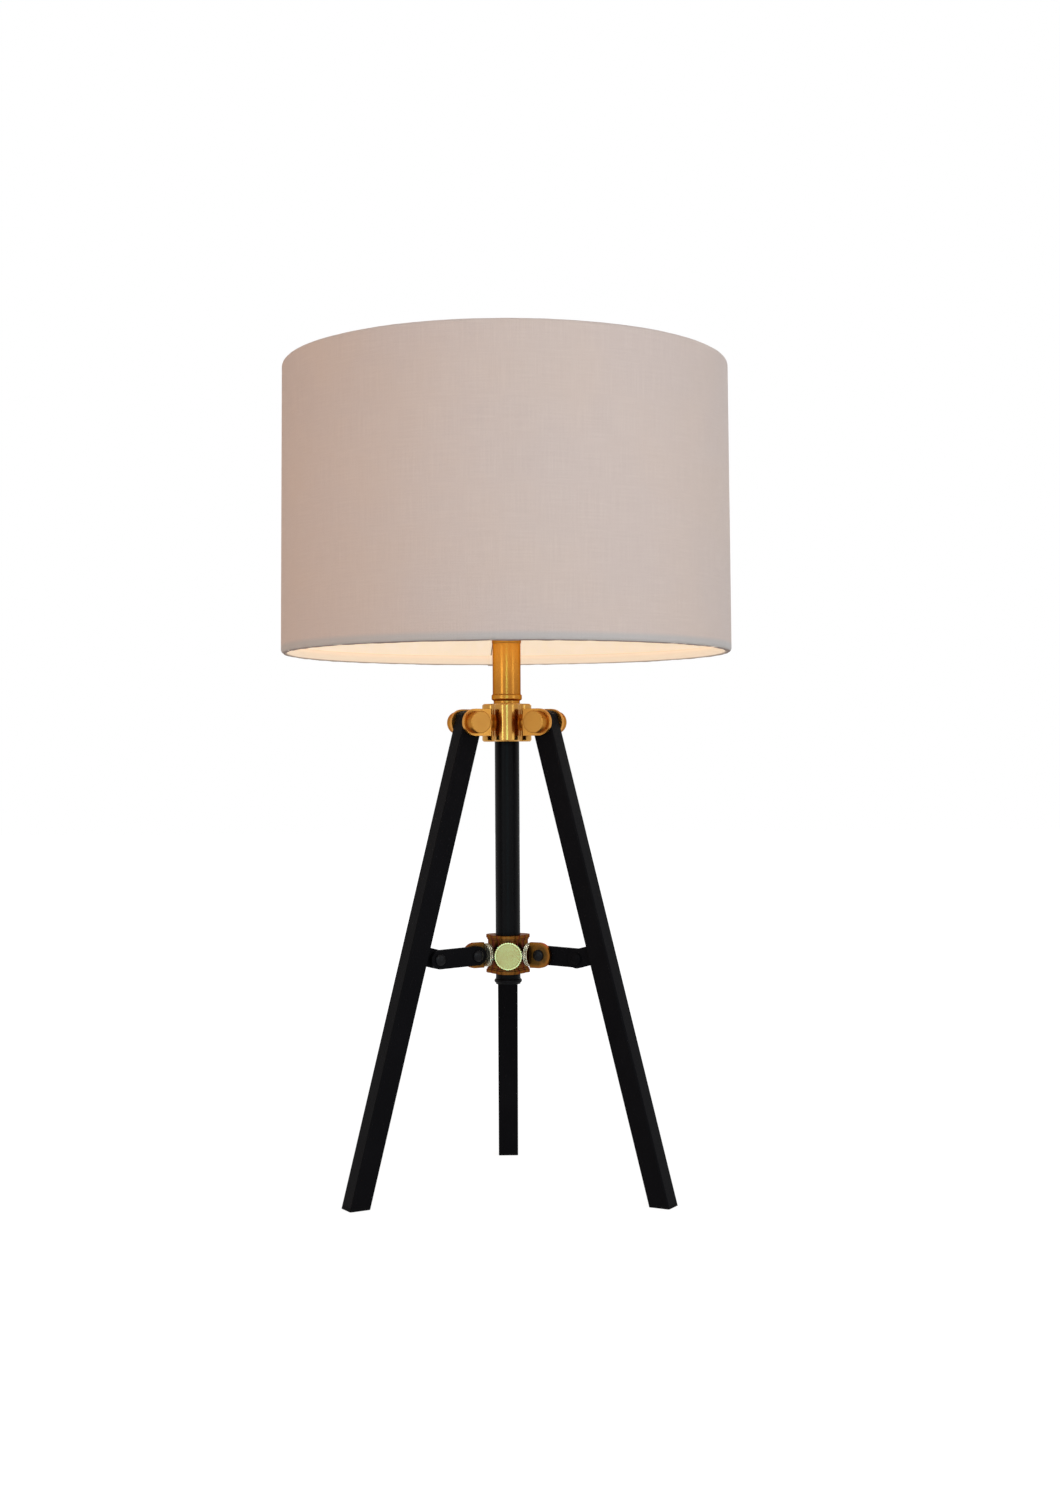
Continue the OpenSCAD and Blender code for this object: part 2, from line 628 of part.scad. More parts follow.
// The spider: a washer on thin arms that end at the top ring's wire
arm_gap = 0.15;
arm_r = shade_r(top_ring_z) - ring_inset - ring_wire_r - arm_gap;
arm_wire_r = ring_wire_r - 0.2;
arm_in_r = washer_r - 2;
arm_rise = top_ring_z - washer_z - washer_t / 2;
module shade_spider() color(steel) {
  ring(washer_r, harp_stud_r + fixed_gap, washer_z, washer_t);
  for (i = [0:arm_count - 1]) rotate([0, 0, 90 + i * 360 / arm_count])
    translate([arm_in_r, 0, washer_z + washer_t / 2])
      rotate([0, 90 - atan(arm_rise / (arm_r - arm_in_r)), 0])
        cylinder(r = arm_wire_r, h = norm([arm_r - arm_in_r, arm_rise]), $fn = 16);
}

// Collar

// The collar's outline, grown by an amount
module collar_outline(grow) {
  for (a = lobe_angles) rotate([0, 0, a]) translate([collar_lobe_c, 0]) circle(r = collar_lobe_r + grow);
  circle(r = collar_core_r + grow);
}

// One end of the collar: the rim and a lower step behind it, standing on z = 0
module collar_end() {
  linear_extrude(height = rim_h) collar_outline(rim_out);
  linear_extrude(height = rim_h + rim_step_h) collar_outline(rim_step_out);
}

lug_stud_r = 5.5;
lug_stud_in = collar_core_r - 1.6;
module collar() color(brass) difference() {
  translate([0, 0, collar_z]) {
    linear_extrude(height = collar_h) collar_outline(0);
    collar_end();
    translate([0, 0, collar_h]) rotate([180, 0, 180]) collar_end();
  }
  translate([0, 0, collar_z - eps]) cylinder(r = column_r + run_gap, h = collar_h + 2 * eps);
  for (k = [0:2]) at_side(k) translate([0, 0, lug_z]) along_x(lug_stud_r, lug_stud_in, flange_back_r);
  rotate([0, 0, front_angle]) translate([0, 0, lug_z])
    along_x(knob_screw_r + run_gap, column_r - 2, knob_back_r);
}

module lug(k) color(brass) difference() {
  union() {
    at_side(k) translate([0, 0, lug_z]) {
      along_x(lug_stud_r, lug_stud_in, flange_back_r);
      knurled(flange_r, flange_back_r, flange_back_r + flange_t);
    }
    at_lug(k) {
      along_y(tongue_r, -side_gap - plate_t, -side_gap);
      translate([flange_back_r + flange_t - lug_pivot_r, -side_gap - plate_t, -tongue_r])
        cube([lug_pivot_r - flange_back_r - flange_t, plate_t, 2 * tongue_r]);
    }
  }
  at_lug(k) along_y(screw_r, -side_gap - plate_t - eps, -side_gap + eps);
}

module lug_screws() color(black) for (k = [0:2]) at_lug(k) {
  mirror([0, 1, 0]) translate([0, side_gap + plate_t, 0]) button_head();
  along_y(screw_r, -side_gap - plate_t, 2 * side_gap + plate_t + 2);
}

module lug_nuts() color(black) for (k = [0:2]) at_lug(k)
  translate([0, 2 * side_gap + plate_t, 0]) difference() {
    button_head(screw_head_r, screw_head_h + 0.6);
    along_y(screw_r, -eps, 2);
  }

knob_back_r = collar_lobe_c + collar_lobe_r + rim_out + 0.8;
module locking_knob() color(pale_brass) rotate([0, 0, front_angle]) translate([0, 0, lug_z]) {
  difference() {
    knurled(knob_r, knob_back_r, knob_back_r + knob_t);
    along_x(knob_r - 1.6, knob_back_r + knob_t - 0.4, knob_back_r + knob_t + 1);
  }
  along_x(knob_screw_r + 2, collar_lobe_c + collar_lobe_r + fixed_gap, knob_back_r);
  along_x(knob_screw_r, column_r + fixed_gap, knob_back_r);
}

// Links and leg tabs

// A flat bar with round ends and a hole in each, from the origin along +X
module bar(l, y, hole_near, hole_far) difference() {
  union() {
    along_y(link_end_r, y, y + plate_t);
    translate([l, 0, 0]) along_y(link_end_r, y, y + plate_t);
    translate([0, y, -link_end_r]) cube([l, plate_t, 2 * link_end_r]);
  }
  along_y(hole_near, y - eps, y + plate_t + eps);
  translate([l, 0, 0]) along_y(hole_far, y - eps, y + plate_t + eps);
}

module link(k) color(black) at_lug(k) rotate([0, link_slope, 0])
  bar(link_l, side_gap, screw_r + run_gap, screw_r);

module link_screw(k) color(black) at_tab(k) {
  translate([0, side_gap + plate_t, 0]) button_head();
  along_y(screw_r, side_gap, side_gap + plate_t);
}

module leg_tab(k) color(black) at_leg(k) translate([tab_x, 0, -tab_down]) difference() {
  union() {
    along_y(link_end_r, -side_gap - plate_t, -side_gap);
    translate([0, -side_gap - plate_t, -link_end_r])
      cube([-tab_x - leg_w / 2, plate_t, 2 * link_end_r]);
    mirror([0, 1, 0]) translate([0, side_gap + plate_t, 0]) button_head();
  }
  along_y(screw_r, -side_gap - plate_t, -side_gap + eps);
}

// Legs

module leg_tube(k) color(black) difference() {
  at_leg(k) difference() {
    translate([0, 0, -leg_l - spare_l]) linear_extrude(height = leg_l + spare_l + leg_over) difference() {
      round_square(leg_w, leg_corner_r);
      square(leg_in, center = true);
    }
    along_y(bolt_r + run_gap, -leg_w, leg_w);
  }
  foot_slab(k, -trim_w, foot_t);
}

// Spare length that is cut off square to the table
spare_l = 20;

// Everything from height z0 to z1, near one foot
trim_w = 60;
module foot_slab(k, z0, z1) at_side(k) translate([foot_r - trim_w, -trim_w, z0])
  cube([2 * trim_w, 2 * trim_w, z1 - z0]);

module leg_eye(k) color(black) at_leg(k) difference() {
  union() {
    intersection() {
      along_y(leg_eye_r, -leg_w, leg_w);
      translate([0, 0, leg_over]) linear_extrude(height = leg_eye_r) round_square(leg_w, leg_corner_r);
    }
    translate([-eye_plug_w / 2, -eye_plug_w / 2, -plug_l])
      cube([eye_plug_w, eye_plug_w, plug_l + leg_over + eps]);
  }
  along_y(bolt_r + run_gap, -leg_w, leg_w);
}
eye_plug_w = leg_in - 2 * fixed_gap;

module foot_cap(k) color(black) {
  intersection() {
    at_leg(k) translate([0, 0, -leg_l - spare_l]) linear_extrude(height = 2 * spare_l)
      round_square(leg_w, leg_corner_r);
    foot_slab(k, 0, foot_t);
  }
  difference() {
    at_leg(k) translate([-eye_plug_w / 2, -eye_plug_w / 2, -leg_l]) cube([eye_plug_w, eye_plug_w, plug_l]);
    foot_slab(k, -trim_w, foot_t);
  }
}

hub();
hub_fork(0);  // hub_fork_1
hub_fork(1);  // hub_fork_2
hub_fork(2);  // hub_fork_3
pivot_bolts();
pivot_nuts();
column();
column_end_bead();
cord_bushing();
lamp_pipe();
pipe_nut();
neck_bead();
neck_tube();
neck_top_ring();
harp_saddle();
harp_sleeves();
harp();
finial();
socket_cap();
socket_shell();
socket_sleeve();
socket_body();
socket_screw_shell();
switch_key();
bulb_base();
bulb_glass();
shade_cover();
shade_liner();
shade_top_ring();
shade_spider();
shade_bottom_ring();
shade_top_hem();
shade_bottom_hem();
collar();
lug(0);  // lug_1
lug(1);  // lug_2
lug(2);  // lug_3
lug_screws();
lug_nuts();
locking_knob();
link(0);  // link_1
link(1);  // link_2
link(2);  // link_3
link_screw(0);  // link_screw_1
link_screw(1);  // link_screw_2
link_screw(2);  // link_screw_3
leg_tube(0);  // leg_tube_1
leg_tube(1);  // leg_tube_2
leg_tube(2);  // leg_tube_3
leg_eye(0);  // leg_eye_1
leg_eye(1);  // leg_eye_2
leg_eye(2);  // leg_eye_3
leg_tab(0);  // leg_tab_1
leg_tab(1);  // leg_tab_2
leg_tab(2);  // leg_tab_3
foot_cap(0);  // foot_cap_1
foot_cap(1);  // foot_cap_2
foot_cap(2);  // foot_cap_3
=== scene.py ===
"""Dresses the table lamp's solids: a linen drum shade, brushed brass, satin black legs and a lit bulb."""

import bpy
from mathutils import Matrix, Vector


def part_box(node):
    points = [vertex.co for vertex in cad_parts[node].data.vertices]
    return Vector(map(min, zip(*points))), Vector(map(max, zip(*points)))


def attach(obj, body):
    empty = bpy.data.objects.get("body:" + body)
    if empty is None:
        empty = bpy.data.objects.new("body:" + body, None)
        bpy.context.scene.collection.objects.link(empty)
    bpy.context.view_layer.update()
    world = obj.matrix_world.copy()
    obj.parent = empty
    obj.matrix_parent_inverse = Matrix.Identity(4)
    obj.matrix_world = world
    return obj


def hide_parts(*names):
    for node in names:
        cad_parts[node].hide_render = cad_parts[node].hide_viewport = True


bl_info = {
    "name": "Tripod table lamp",
    "version": (1, 0, 0),
    "blender": (4, 5, 0),
    "location": "3D View > Sidebar > Lamp",
    "description": "Dresses a table lamp with a drum shade on a folding tripod",
    "category": "Object",
}

import math

import bmesh
import bpy
from bpy.props import FloatProperty, FloatVectorProperty, IntProperty, PointerProperty
from bpy.types import Operator, Panel, PropertyGroup
from mathutils import Matrix, Vector

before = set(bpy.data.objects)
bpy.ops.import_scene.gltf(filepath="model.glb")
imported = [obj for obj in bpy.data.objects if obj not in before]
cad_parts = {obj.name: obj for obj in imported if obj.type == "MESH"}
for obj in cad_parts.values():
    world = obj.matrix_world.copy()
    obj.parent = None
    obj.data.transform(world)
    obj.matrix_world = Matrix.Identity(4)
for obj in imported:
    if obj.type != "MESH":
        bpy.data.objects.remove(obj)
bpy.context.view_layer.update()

LEGS = (1, 2, 3)
WHITE = (1.0, 1.0, 1.0)

# The photograph's height in pixels, and the height of the camera's sensor in millimetres
PHOTO_HEIGHT_PX = 1500
SENSOR_HEIGHT = 36.0


# Sizes and colours that a user would change

class LampShadeSettings(PropertyGroup):
    cloth_colour: FloatVectorProperty(
        name="Linen", description="Colour of the linen's threads",
        subtype="COLOR", size=3, min=0, max=1, default=(0.535, 0.460, 0.435))
    cloth_shade: FloatVectorProperty(
        name="Linen gaps", description="Colour between the linen's threads",
        subtype="COLOR", size=3, min=0, max=1, default=(0.415, 0.350, 0.328))
    # The rolled edge's colour is painted light: the cooler light that the bottom roll catches from below.
    rolled_edge_light: FloatVectorProperty(
        name="Rolled edge", description="Colour of the linen where it is stretched around a ring",
        subtype="COLOR", size=3, min=0, max=1, default=(0.385, 0.40, 0.41))
    # The fold's colour is painted shade: the dark band on the bottom roll's underside.
    fold_shade_colour: FloatVectorProperty(
        name="Fold", description="Colour of the linen's underside, where it is soaked with glue",
        subtype="COLOR", size=3, min=0, max=1, default=(0.16, 0.09, 0.06))
    liner_colour: FloatVectorProperty(
        name="Liner", description="Colour of the stiff liner",
        subtype="COLOR", size=3, min=0, max=1, default=(0.86, 0.82, 0.75))
    thread_pitch: FloatProperty(
        name="Thread pitch", description="Distance between two threads of the linen",
        subtype="DISTANCE", unit="LENGTH", default=0.00055, min=0.0002, max=0.003, precision=5)
    cloth_thickness: FloatProperty(
        name="Cloth thickness", description="Thickness of the linen",
        subtype="DISTANCE", unit="LENGTH", default=0.0006, min=0.0002, max=0.001, precision=5)
    roll_radius: FloatProperty(
        name="Roll radius", description="Radius of the rolled edges, at the cloth's middle",
        subtype="DISTANCE", unit="LENGTH", default=0.0030, min=0.0028, max=0.004, precision=5)
    seam_angle: FloatProperty(
        name="Seam", description="Where the cloth's ends meet, counted from +X",
        subtype="ANGLE", unit="ROTATION", default=math.radians(92.4))
    seam_lap: FloatProperty(
        name="Seam lap", description="How far the cloth's ends overlap",
        subtype="DISTANCE", unit="LENGTH", default=0.009, min=0.003, max=0.03)
    around: IntProperty(
        name="Segments", description="Faces around the shade", default=480, min=96, max=960)
    glow: FloatProperty(
        name="Glow", description="Light that comes through the linen from the bulb",
        default=0.03, min=0, max=1)
    inner_glow: FloatProperty(
        name="Inner glow", description="The bulb's light on the linen's turned-in edges",
        default=0.58, min=0, max=2)


class LampMetalSettings(PropertyGroup):
    brass_colour: FloatVectorProperty(
        name="Brass", description="Colour of the brushed brass",
        subtype="COLOR", size=3, min=0, max=1, default=(0.50, 0.21, 0.028))
    # The aged colour is the brass's uneven tone and brushing, and also painted shade in its corners and at
    # the neck's foot.
    brass_dark: FloatVectorProperty(
        name="Brass, aged", description="Colour of the brass in its corners",
        subtype="COLOR", size=3, min=0, max=1, default=(0.27, 0.090, 0.012))
    fork_colour: FloatVectorProperty(
        name="Forks", description="Colour of the paler brass of the forks and the bolts' heads",
        subtype="COLOR", size=3, min=0, max=1, default=(0.50, 0.225, 0.040))
    hub_colour: FloatVectorProperty(
        name="Hub", description="Colour of the hub's yellower brass",
        subtype="COLOR", size=3, min=0, max=1, default=(0.51, 0.26, 0.058))
    aged_colour: FloatVectorProperty(
        name="Aged brass", description="Colour of the brown brass of the collar and its lugs",
        subtype="COLOR", size=3, min=0, max=1, default=(0.27, 0.098, 0.013))
    # This dark colour is also painted shade in the collar's and lugs' corners and between the knurl's
    # points.
    aged_dark: FloatVectorProperty(
        name="Aged brass, dark", description="Colour of the collar's brass in its corners",
        subtype="COLOR", size=3, min=0, max=1, default=(0.030, 0.016, 0.008))
    knob_colour: FloatVectorProperty(
        name="Knob", description="Colour of the pale brass knob",
        subtype="COLOR", size=3, min=0, max=1, default=(0.34, 0.265, 0.105))
    steel_colour: FloatVectorProperty(
        name="Steel", description="Colour of the zinc-plated steel",
        subtype="COLOR", size=3, min=0, max=1, default=(0.52, 0.53, 0.54))
    black_colour: FloatVectorProperty(
        name="Black", description="Colour of the satin black paint",
        subtype="COLOR", size=3, min=0, max=1, default=(0.0034, 0.0033, 0.0040))
    edge_radius: FloatProperty(
        name="Edge radius", description="Rounding of the metal's edges in the light",
        subtype="DISTANCE", unit="LENGTH", default=0.0004, min=0, max=0.002, precision=5)


class LampStageSettings(PropertyGroup):
    camera_distance: FloatProperty(
        name="Distance", description="Level distance from the camera to the lamp's axis",
        subtype="DISTANCE", unit="LENGTH", default=1.645, min=0.5, max=6)
    camera_height: FloatProperty(
        name="Height", description="Height of the camera above the table",
        subtype="DISTANCE", unit="LENGTH", default=0.365, min=0, max=3)
    lamp_turn: FloatProperty(
        name="Turn", description="How far the lamp is turned from facing the camera",
        subtype="ANGLE", unit="ROTATION", default=math.radians(0.26))
    camera_yaw: FloatProperty(
        name="Yaw", description="How far the camera looks past the lamp's axis, to the right",
        subtype="ANGLE", unit="ROTATION", default=math.radians(0.685))
    camera_pitch: FloatProperty(
        name="Pitch", description="How far the camera looks up",
        subtype="ANGLE", unit="ROTATION", default=math.radians(0.312))
    camera_roll: FloatProperty(
        name="Roll", description="How far the camera leans",
        subtype="ANGLE", unit="ROTATION", default=math.radians(-0.313))
    focal_px: FloatProperty(
        name="Focal length", description="Focal length in pixels of the photograph",
        default=1923.6, min=500, max=9000)
    floor_size: FloatProperty(
        name="Floor", description="Width of the floor",
        subtype="DISTANCE", unit="LENGTH", default=16, min=2, max=60)
    floor_colour: FloatVectorProperty(
        name="Floor colour", description="Colour of the floor",
        subtype="COLOR", size=3, min=0, max=1, default=(0.9, 0.9, 0.9))
    room_level: FloatProperty(
        name="Room light", description="Strength of the even light from all around",
        default=0.39, min=0, max=2)
    right_power: FloatProperty(
        name="Right lamp", description="Power of the large lamp on the right",
        subtype="POWER", unit="POWER", default=16, min=0, max=200)
    left_power: FloatProperty(
        name="Left lamp", description="Power of the soft lamp on the left",
        subtype="POWER", unit="POWER", default=1.4, min=0, max=200)
    front_power: FloatProperty(
        name="Front lamp", description="Power of the soft lamp over the camera",
        subtype="POWER", unit="POWER", default=27, min=0, max=200)
    side_power: FloatProperty(
        name="Side lamp", description="Power of the warm lamp at the left side",
        subtype="POWER", unit="POWER", default=11.3, min=0, max=200)
    back_power: FloatProperty(
        name="Back lamp", description="Power of the soft lamp behind the lamp",
        subtype="POWER", unit="POWER", default=14, min=0, max=200)
    left_edge_power: FloatProperty(
        name="Left edge lamp",
        description="Power of the narrow lamp that draws a line on the metal's left side",
        subtype="POWER", unit="POWER", default=7, min=0, max=200)
    right_edge_power: FloatProperty(
        name="Right edge lamp",
        description="Power of the narrow lamp that draws a line on the metal's right side",
        subtype="POWER", unit="POWER", default=4.3, min=0, max=200)
    strip_power: FloatProperty(
        name="Strip lamp", description="Power of the thin lamp that draws a line on the round metal",
        subtype="POWER", unit="POWER", default=4.8, min=0, max=50)
    bulb_power: FloatProperty(
        name="Bulb", description="Power of the light inside the shade",
        subtype="POWER", unit="POWER", default=0.42, min=0, max=20)


# Shader trees

# How many rays look for an edge and for a corner
EDGE_SAMPLES, CORNER_SAMPLES = 4, 6


class Shader:
    """A node tree of a material or of the world, with short ways to add its nodes and join them."""

    def __init__(self, owner):
        owner.use_nodes = True
        self.tree = owner.node_tree
        self.tree.nodes.clear()

    def add(self, kind, inputs=None, **settings):
        """A node with its settings, and its inputs set to values or joined to other sockets."""
        node = self.tree.nodes.new("ShaderNode" + kind)
        for key, value in settings.items():
            setattr(node, key, value)
        for key, value in (inputs or {}).items():
            self.put(node.inputs[key], value)
        return node

    def join(self, out, into):
        self.tree.links.new(out, into)

    def put(self, socket, value):
        """Sets an input to a value, or joins it to another socket."""
        if isinstance(value, bpy.types.NodeSocket):
            self.join(value, socket)
        elif socket.type == "RGBA":
            socket.default_value = tuple(value)[:3] + (1.0,)
        else:
            socket.default_value = value

    def math(self, operation, a, b=0.0):
        return self.add("Math", {0: a, 1: b}, operation=operation).outputs[0]

    def ramp(self, value, low, high, to_low=0.0, to_high=1.0):
        """A soft step from to_low to to_high while the value goes from low to high."""
        return self.add("MapRange", {
            "Value": value, "From Min": low, "From Max": high, "To Min": to_low, "To Max": to_high},
            interpolation_type="SMOOTHSTEP").outputs["Result"]

    def mix(self, factor, a, b):
        """A colour between a and b. The Mix node keeps its colours in sockets 6, 7 and 2."""
        return self.add("Mix", {0: factor, 6: a, 7: b}, data_type="RGBA").outputs[2]


class Finish(Shader):
    """One material: a node tree that ends in a Principled shader."""

    def __init__(self, name):
        self.material = bpy.data.materials.new(name)
        super().__init__(self.material)
        self.surface = self.add("BsdfPrincipled")
        self.output = self.add("OutputMaterial")
        self.join(self.surface.outputs["BSDF"], self.output.inputs["Surface"])
        self.place = self.add("TexCoord").outputs["Object"]

    def set(self, **values):
        """Sockets of the Principled shader by name, with underscores for spaces."""
        for key, value in values.items():
            self.put(self.surface.inputs[key.replace("_", " ")], value)

    def height(self):
        return self.add("SeparateXYZ", {"Vector": self.place}).outputs["Z"]

    def distance(self, middle, axes):
        """Distance from a point, counted along the chosen axes alone."""
        off = self.add("VectorMath", {0: self.place, 1: middle}, operation="SUBTRACT").outputs[0]
        kept = self.add("VectorMath", {0: off, 1: axes}, operation="MULTIPLY").outputs[0]
        return self.add("VectorMath", {0: kept}, operation="LENGTH").outputs["Value"]

    def noise(self, scale, detail=2.0, roughness=0.5, stretch=(1, 1, 1), vector=None, distortion=0.0):
        """Grey noise with a scale in features per metre, squeezed along each axis by stretch."""
        spread = self.add("Mapping", {"Vector": vector or self.place, "Scale": stretch})
        return self.add("TexNoise", {
            "Vector": spread.outputs["Vector"], "Scale": scale, "Detail": detail,
            "Roughness": roughness, "Distortion": distortion}).outputs["Fac"]

    def bump(self, height, strength, distance, normal=None):
        node = self.add("Bump", {"Height": height, "Strength": strength, "Distance": distance})
        if normal is not None:
            self.join(normal, node.inputs["Normal"])
        return node.outputs["Normal"]

    def rounded(self, radius):
        """The surface's direction with its edges rounded to a radius."""
        return self.add("Bevel", {"Radius": radius}, samples=EDGE_SAMPLES).outputs["Normal"]

    def corners(self, distance, inside=False):
        """1 in the open, less in corners and gaps; counted inside the metal, less at its outer edges."""
        return self.add("AmbientOcclusion", {"Distance": distance}, samples=CORNER_SAMPLES,
                        inside=inside).outputs["AO"]


def scaled(colour, factor):
    """A lighter or darker tone of a colour."""
    return tuple(c * factor for c in colour)


# How the grain of each metal lies: across it the noise changes fast, along it slowly
GRAIN_ROUND = (0.04, 0.04, 1.0)
GRAIN_UPRIGHT = (1.0, 1.0, 0.006)
GRAIN_EVEN = (0.6, 0.6, 0.6)

# The colour of a brass highlight at a grazing angle
CLEAR_TINT = (0.95, 0.85, 0.7)
DULL_TINT = (0.45, 0.28, 0.16)


def knurling(f):
    """Where the lugs' knurled flanges lie, and the height of their points."""
    flange_start, flange_end, knurl_pitch = 0.0187, 0.0233, 0.0014
    along = None
    for k in LEGS:
        low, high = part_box("lug_%d" % k)
        out = Vector(((low[0] + high[0]) / 2, (low[1] + high[1]) / 2, 0)).normalized()
        reach = f.add("VectorMath", {0: f.place, 1: out}, operation="DOT_PRODUCT").outputs["Value"]
        along = reach if along is None else f.math("MAXIMUM", along, reach)
    flange = f.math("MULTIPLY", f.ramp(along, flange_start, flange_start + 0.0003),
                    f.ramp(along, flange_end, flange_end - 0.0002))
    points = f.math("SINE", f.math("MULTIPLY", along, 2 * math.pi / knurl_pitch))
    return flange, points


def brass_finish(name, colour, dark, edge_radius, grain, roughness=0.3, depth=0.00002, coat=0.07,
                 reach=0.006, tint=DULL_TINT, lower_shade=None, patina_and_edge_light=None, knurled=False):
    """Satin brass: fine brushing, soft colour change, painted shade in its corners and a thin clear
    lacquer.

    Grain and depth are those of the brushing, and reach is how far from a corner the painted shade goes.
    Two heights may be given, between which a painted shade, darkest at the lower one, ends towards the lit
    top.
    A colour may be given for the faces away from the edges: blotchy, partly real tarnish and partly
    painted light, as it leaves the edges lighter as if lit. Knurled flanges get a painted highlight on
    their points and painted shade between them."""
    f = Finish(name)
    lines = f.noise(4200, 2.0, 0.5, grain)
    cloud = f.noise(38, 3.0, 0.55)
    speck = f.noise(900, 1.0, 0.5)
    # Painted shade: the brass is darker in corners and gaps, out to the reach.
    clear_of_shade = f.ramp(f.corners(reach), 0.25, 0.85)
    aged = f.mix(f.ramp(cloud, 0.35, 0.7, 0.0, 0.22), colour, dark)
    brushed = f.mix(f.ramp(lines, 0.3, 0.75, 0.0, 0.12), aged, dark)
    tone = f.mix(clear_of_shade, dark, brushed)
    # Painted shade, darkest at the lower height, for the light that falls on the part above.
    if lower_shade is not None:
        tone = f.mix(f.ramp(f.height(), lower_shade[0], lower_shade[1], 0.6, 0.0), tone, dark)
    # Partly tarnish, partly painted light: blotches darken the faces away from the edges, so the edges
    # look lit.
    if patina_and_edge_light is not None:
        edge_width = 0.0035
        inside = f.corners(edge_width, inside=True)
        blotch = f.ramp(f.noise(150, 3.0, 0.6), 0.3, 0.6, 0.35, 0.8)
        tone = f.mix(f.math("MULTIPLY", f.ramp(inside, 0.72, 0.97), blotch), tone, patina_and_edge_light)
    normal = f.bump(lines, 0.12, depth, f.rounded(edge_radius))
    # Painted highlight on the knurl's points, with painted shade between them.
    if knurled:
        glint_width, knurl_depth, glint_colour = 0.0007, 0.0003, (0.88, 0.84, 0.64)
        flange, points = knurling(f)
        painted_glints = f.math("MULTIPLY", f.ramp(f.corners(glint_width), 0.45, 0.85), f.ramp(points, -0.6, 0.4))
        tone = f.mix(flange, tone, f.mix(painted_glints, dark, glint_colour))
        normal = f.bump(f.math("MULTIPLY", points, flange), 0.6, knurl_depth, normal)
    f.set(
        Base_Color=tone,
        Metallic=1.0,
        Roughness=f.math("ADD", f.ramp(lines, 0.2, 0.8, roughness - 0.05, roughness + 0.07),
                         f.ramp(speck, 0.55, 0.8, 0.0, 0.06)),
        Normal=normal,
        Specular_Tint=tint,
        Coat_Weight=coat, Coat_Roughness=0.22, Coat_IOR=1.5)
    return f.material


def knob_finish(metal):
    """Pale brass, turned: fine rings around the knob's own axis, painted shade in a groove and a painted
    highlight on the rim.
    """
    ring_pitch, ring_depth = 0.00042, 0.00002
    groove_start, groove_end, rim_start = 0.0096, 0.0106, 0.0101
    # The groove's colour is painted shade and the rim's colour a painted highlight; olive is the brass's
    # uneven tone.
    olive, groove_shade_colour, rim_highlight_colour = (0.36, 0.33, 0.10), (0.20, 0.17, 0.05), (0.66, 0.64, 0.30)
    f = Finish("pale_turned_brass")
    low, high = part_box("locking_knob")
    middle = Vector(low).lerp(Vector(high), 0.5)
    out = f.distance((middle.x, 0.0, middle.z), (1.0, 0.0, 1.0))
    rings = f.math("SINE", f.math("MULTIPLY", out, 2 * math.pi / ring_pitch))
    uneven = f.noise(420, 2.0)
    # Painted highlight on the knob's rim.
    rim = f.ramp(out, rim_start, rim_start + 0.0007)
    tone = f.mix(f.ramp(uneven, 0.35, 0.7, 0.0, 0.25), metal.knob_colour, olive)
    # Painted shade in the groove.
    groove = f.math("MULTIPLY", f.ramp(out, groove_start, groove_start + 0.0004),
                    f.ramp(out, groove_end, groove_end - 0.0004))
    groove_shaded = f.mix(f.math("MULTIPLY", groove, 0.45), tone, groove_shade_colour)
    f.set(
        Base_Color=f.mix(f.math("MULTIPLY", rim, 0.7), groove_shaded, rim_highlight_colour),
        Metallic=1.0,
        Roughness=f.ramp(rings, -1.0, 1.0, 0.26, 0.34),
        Normal=f.bump(rings, 0.25, ring_depth, f.rounded(metal.edge_radius)),
        Coat_Weight=0.2, Coat_Roughness=0.2)
    return f.material


def steel_finish(name, colour, edge_radius):
    """Zinc-plated wire and pipe, a little cloudy."""
    f = Finish(name)
    cloud = f.noise(160, 4.0, 0.6)
    fine = f.noise(3000, 2.0)
    dull = scaled(colour, 0.62)
    f.set(
        Base_Color=f.mix(f.ramp(cloud, 0.3, 0.75, 0.0, 0.55), colour, dull),
        Metallic=1.0,
        Roughness=f.ramp(cloud, 0.3, 0.7, 0.3, 0.46),
        Normal=f.bump(fine, 0.2, 0.00002, f.rounded(edge_radius)))
    return f.material


def black_finish(name, colour, edge_radius, roughness=0.5, peel=1400, specular=0.018):
    """Satin black paint: a soft orange peel, a slight cloud in its tone and faint dust."""
    f = Finish(name)
    peeled = f.noise(peel, 2.0, 0.5)
    cloud = f.noise(26, 4.0, 0.6)
    dust = f.noise(5200, 1.0)
    lighter = tuple(c * 1.8 + 0.0005 for c in colour)
    dusty = f.math("MULTIPLY", f.ramp(dust, 0.62, 0.8), f.ramp(cloud, 0.4, 0.7))
    f.set(
        Base_Color=f.mix(f.math("ADD", f.ramp(cloud, 0.35, 0.75, 0.0, 0.35),
                                f.math("MULTIPLY", dusty, 0.5)), colour, lighter),
        Roughness=f.ramp(cloud, 0.3, 0.7, roughness - 0.04, roughness + 0.06),
        Normal=f.bump(peeled, 0.25, 0.00003, f.rounded(edge_radius)),
        Specular_IOR_Level=specular)
    return f.material


def plastic_finish(name, colour, edge_radius, roughness=0.55, specular=0.35):
    """Moulded plastic with a fine spark-eroded texture."""
    f = Finish(name)
    texture = f.noise(4200, 2.0, 0.7)
    flow = f.noise(60, 2.0)
    f.set(
        Base_Color=f.mix(f.ramp(flow, 0.3, 0.75, 0.0, 0.5), colour, scaled(colour, 1.7)),
        Roughness=f.ramp(texture, 0.3, 0.7, roughness - 0.06, roughness + 0.08),
        Normal=f.bump(texture, 0.3, 0.00003, f.rounded(edge_radius)),
        Specular_IOR_Level=specular)
    return f.material


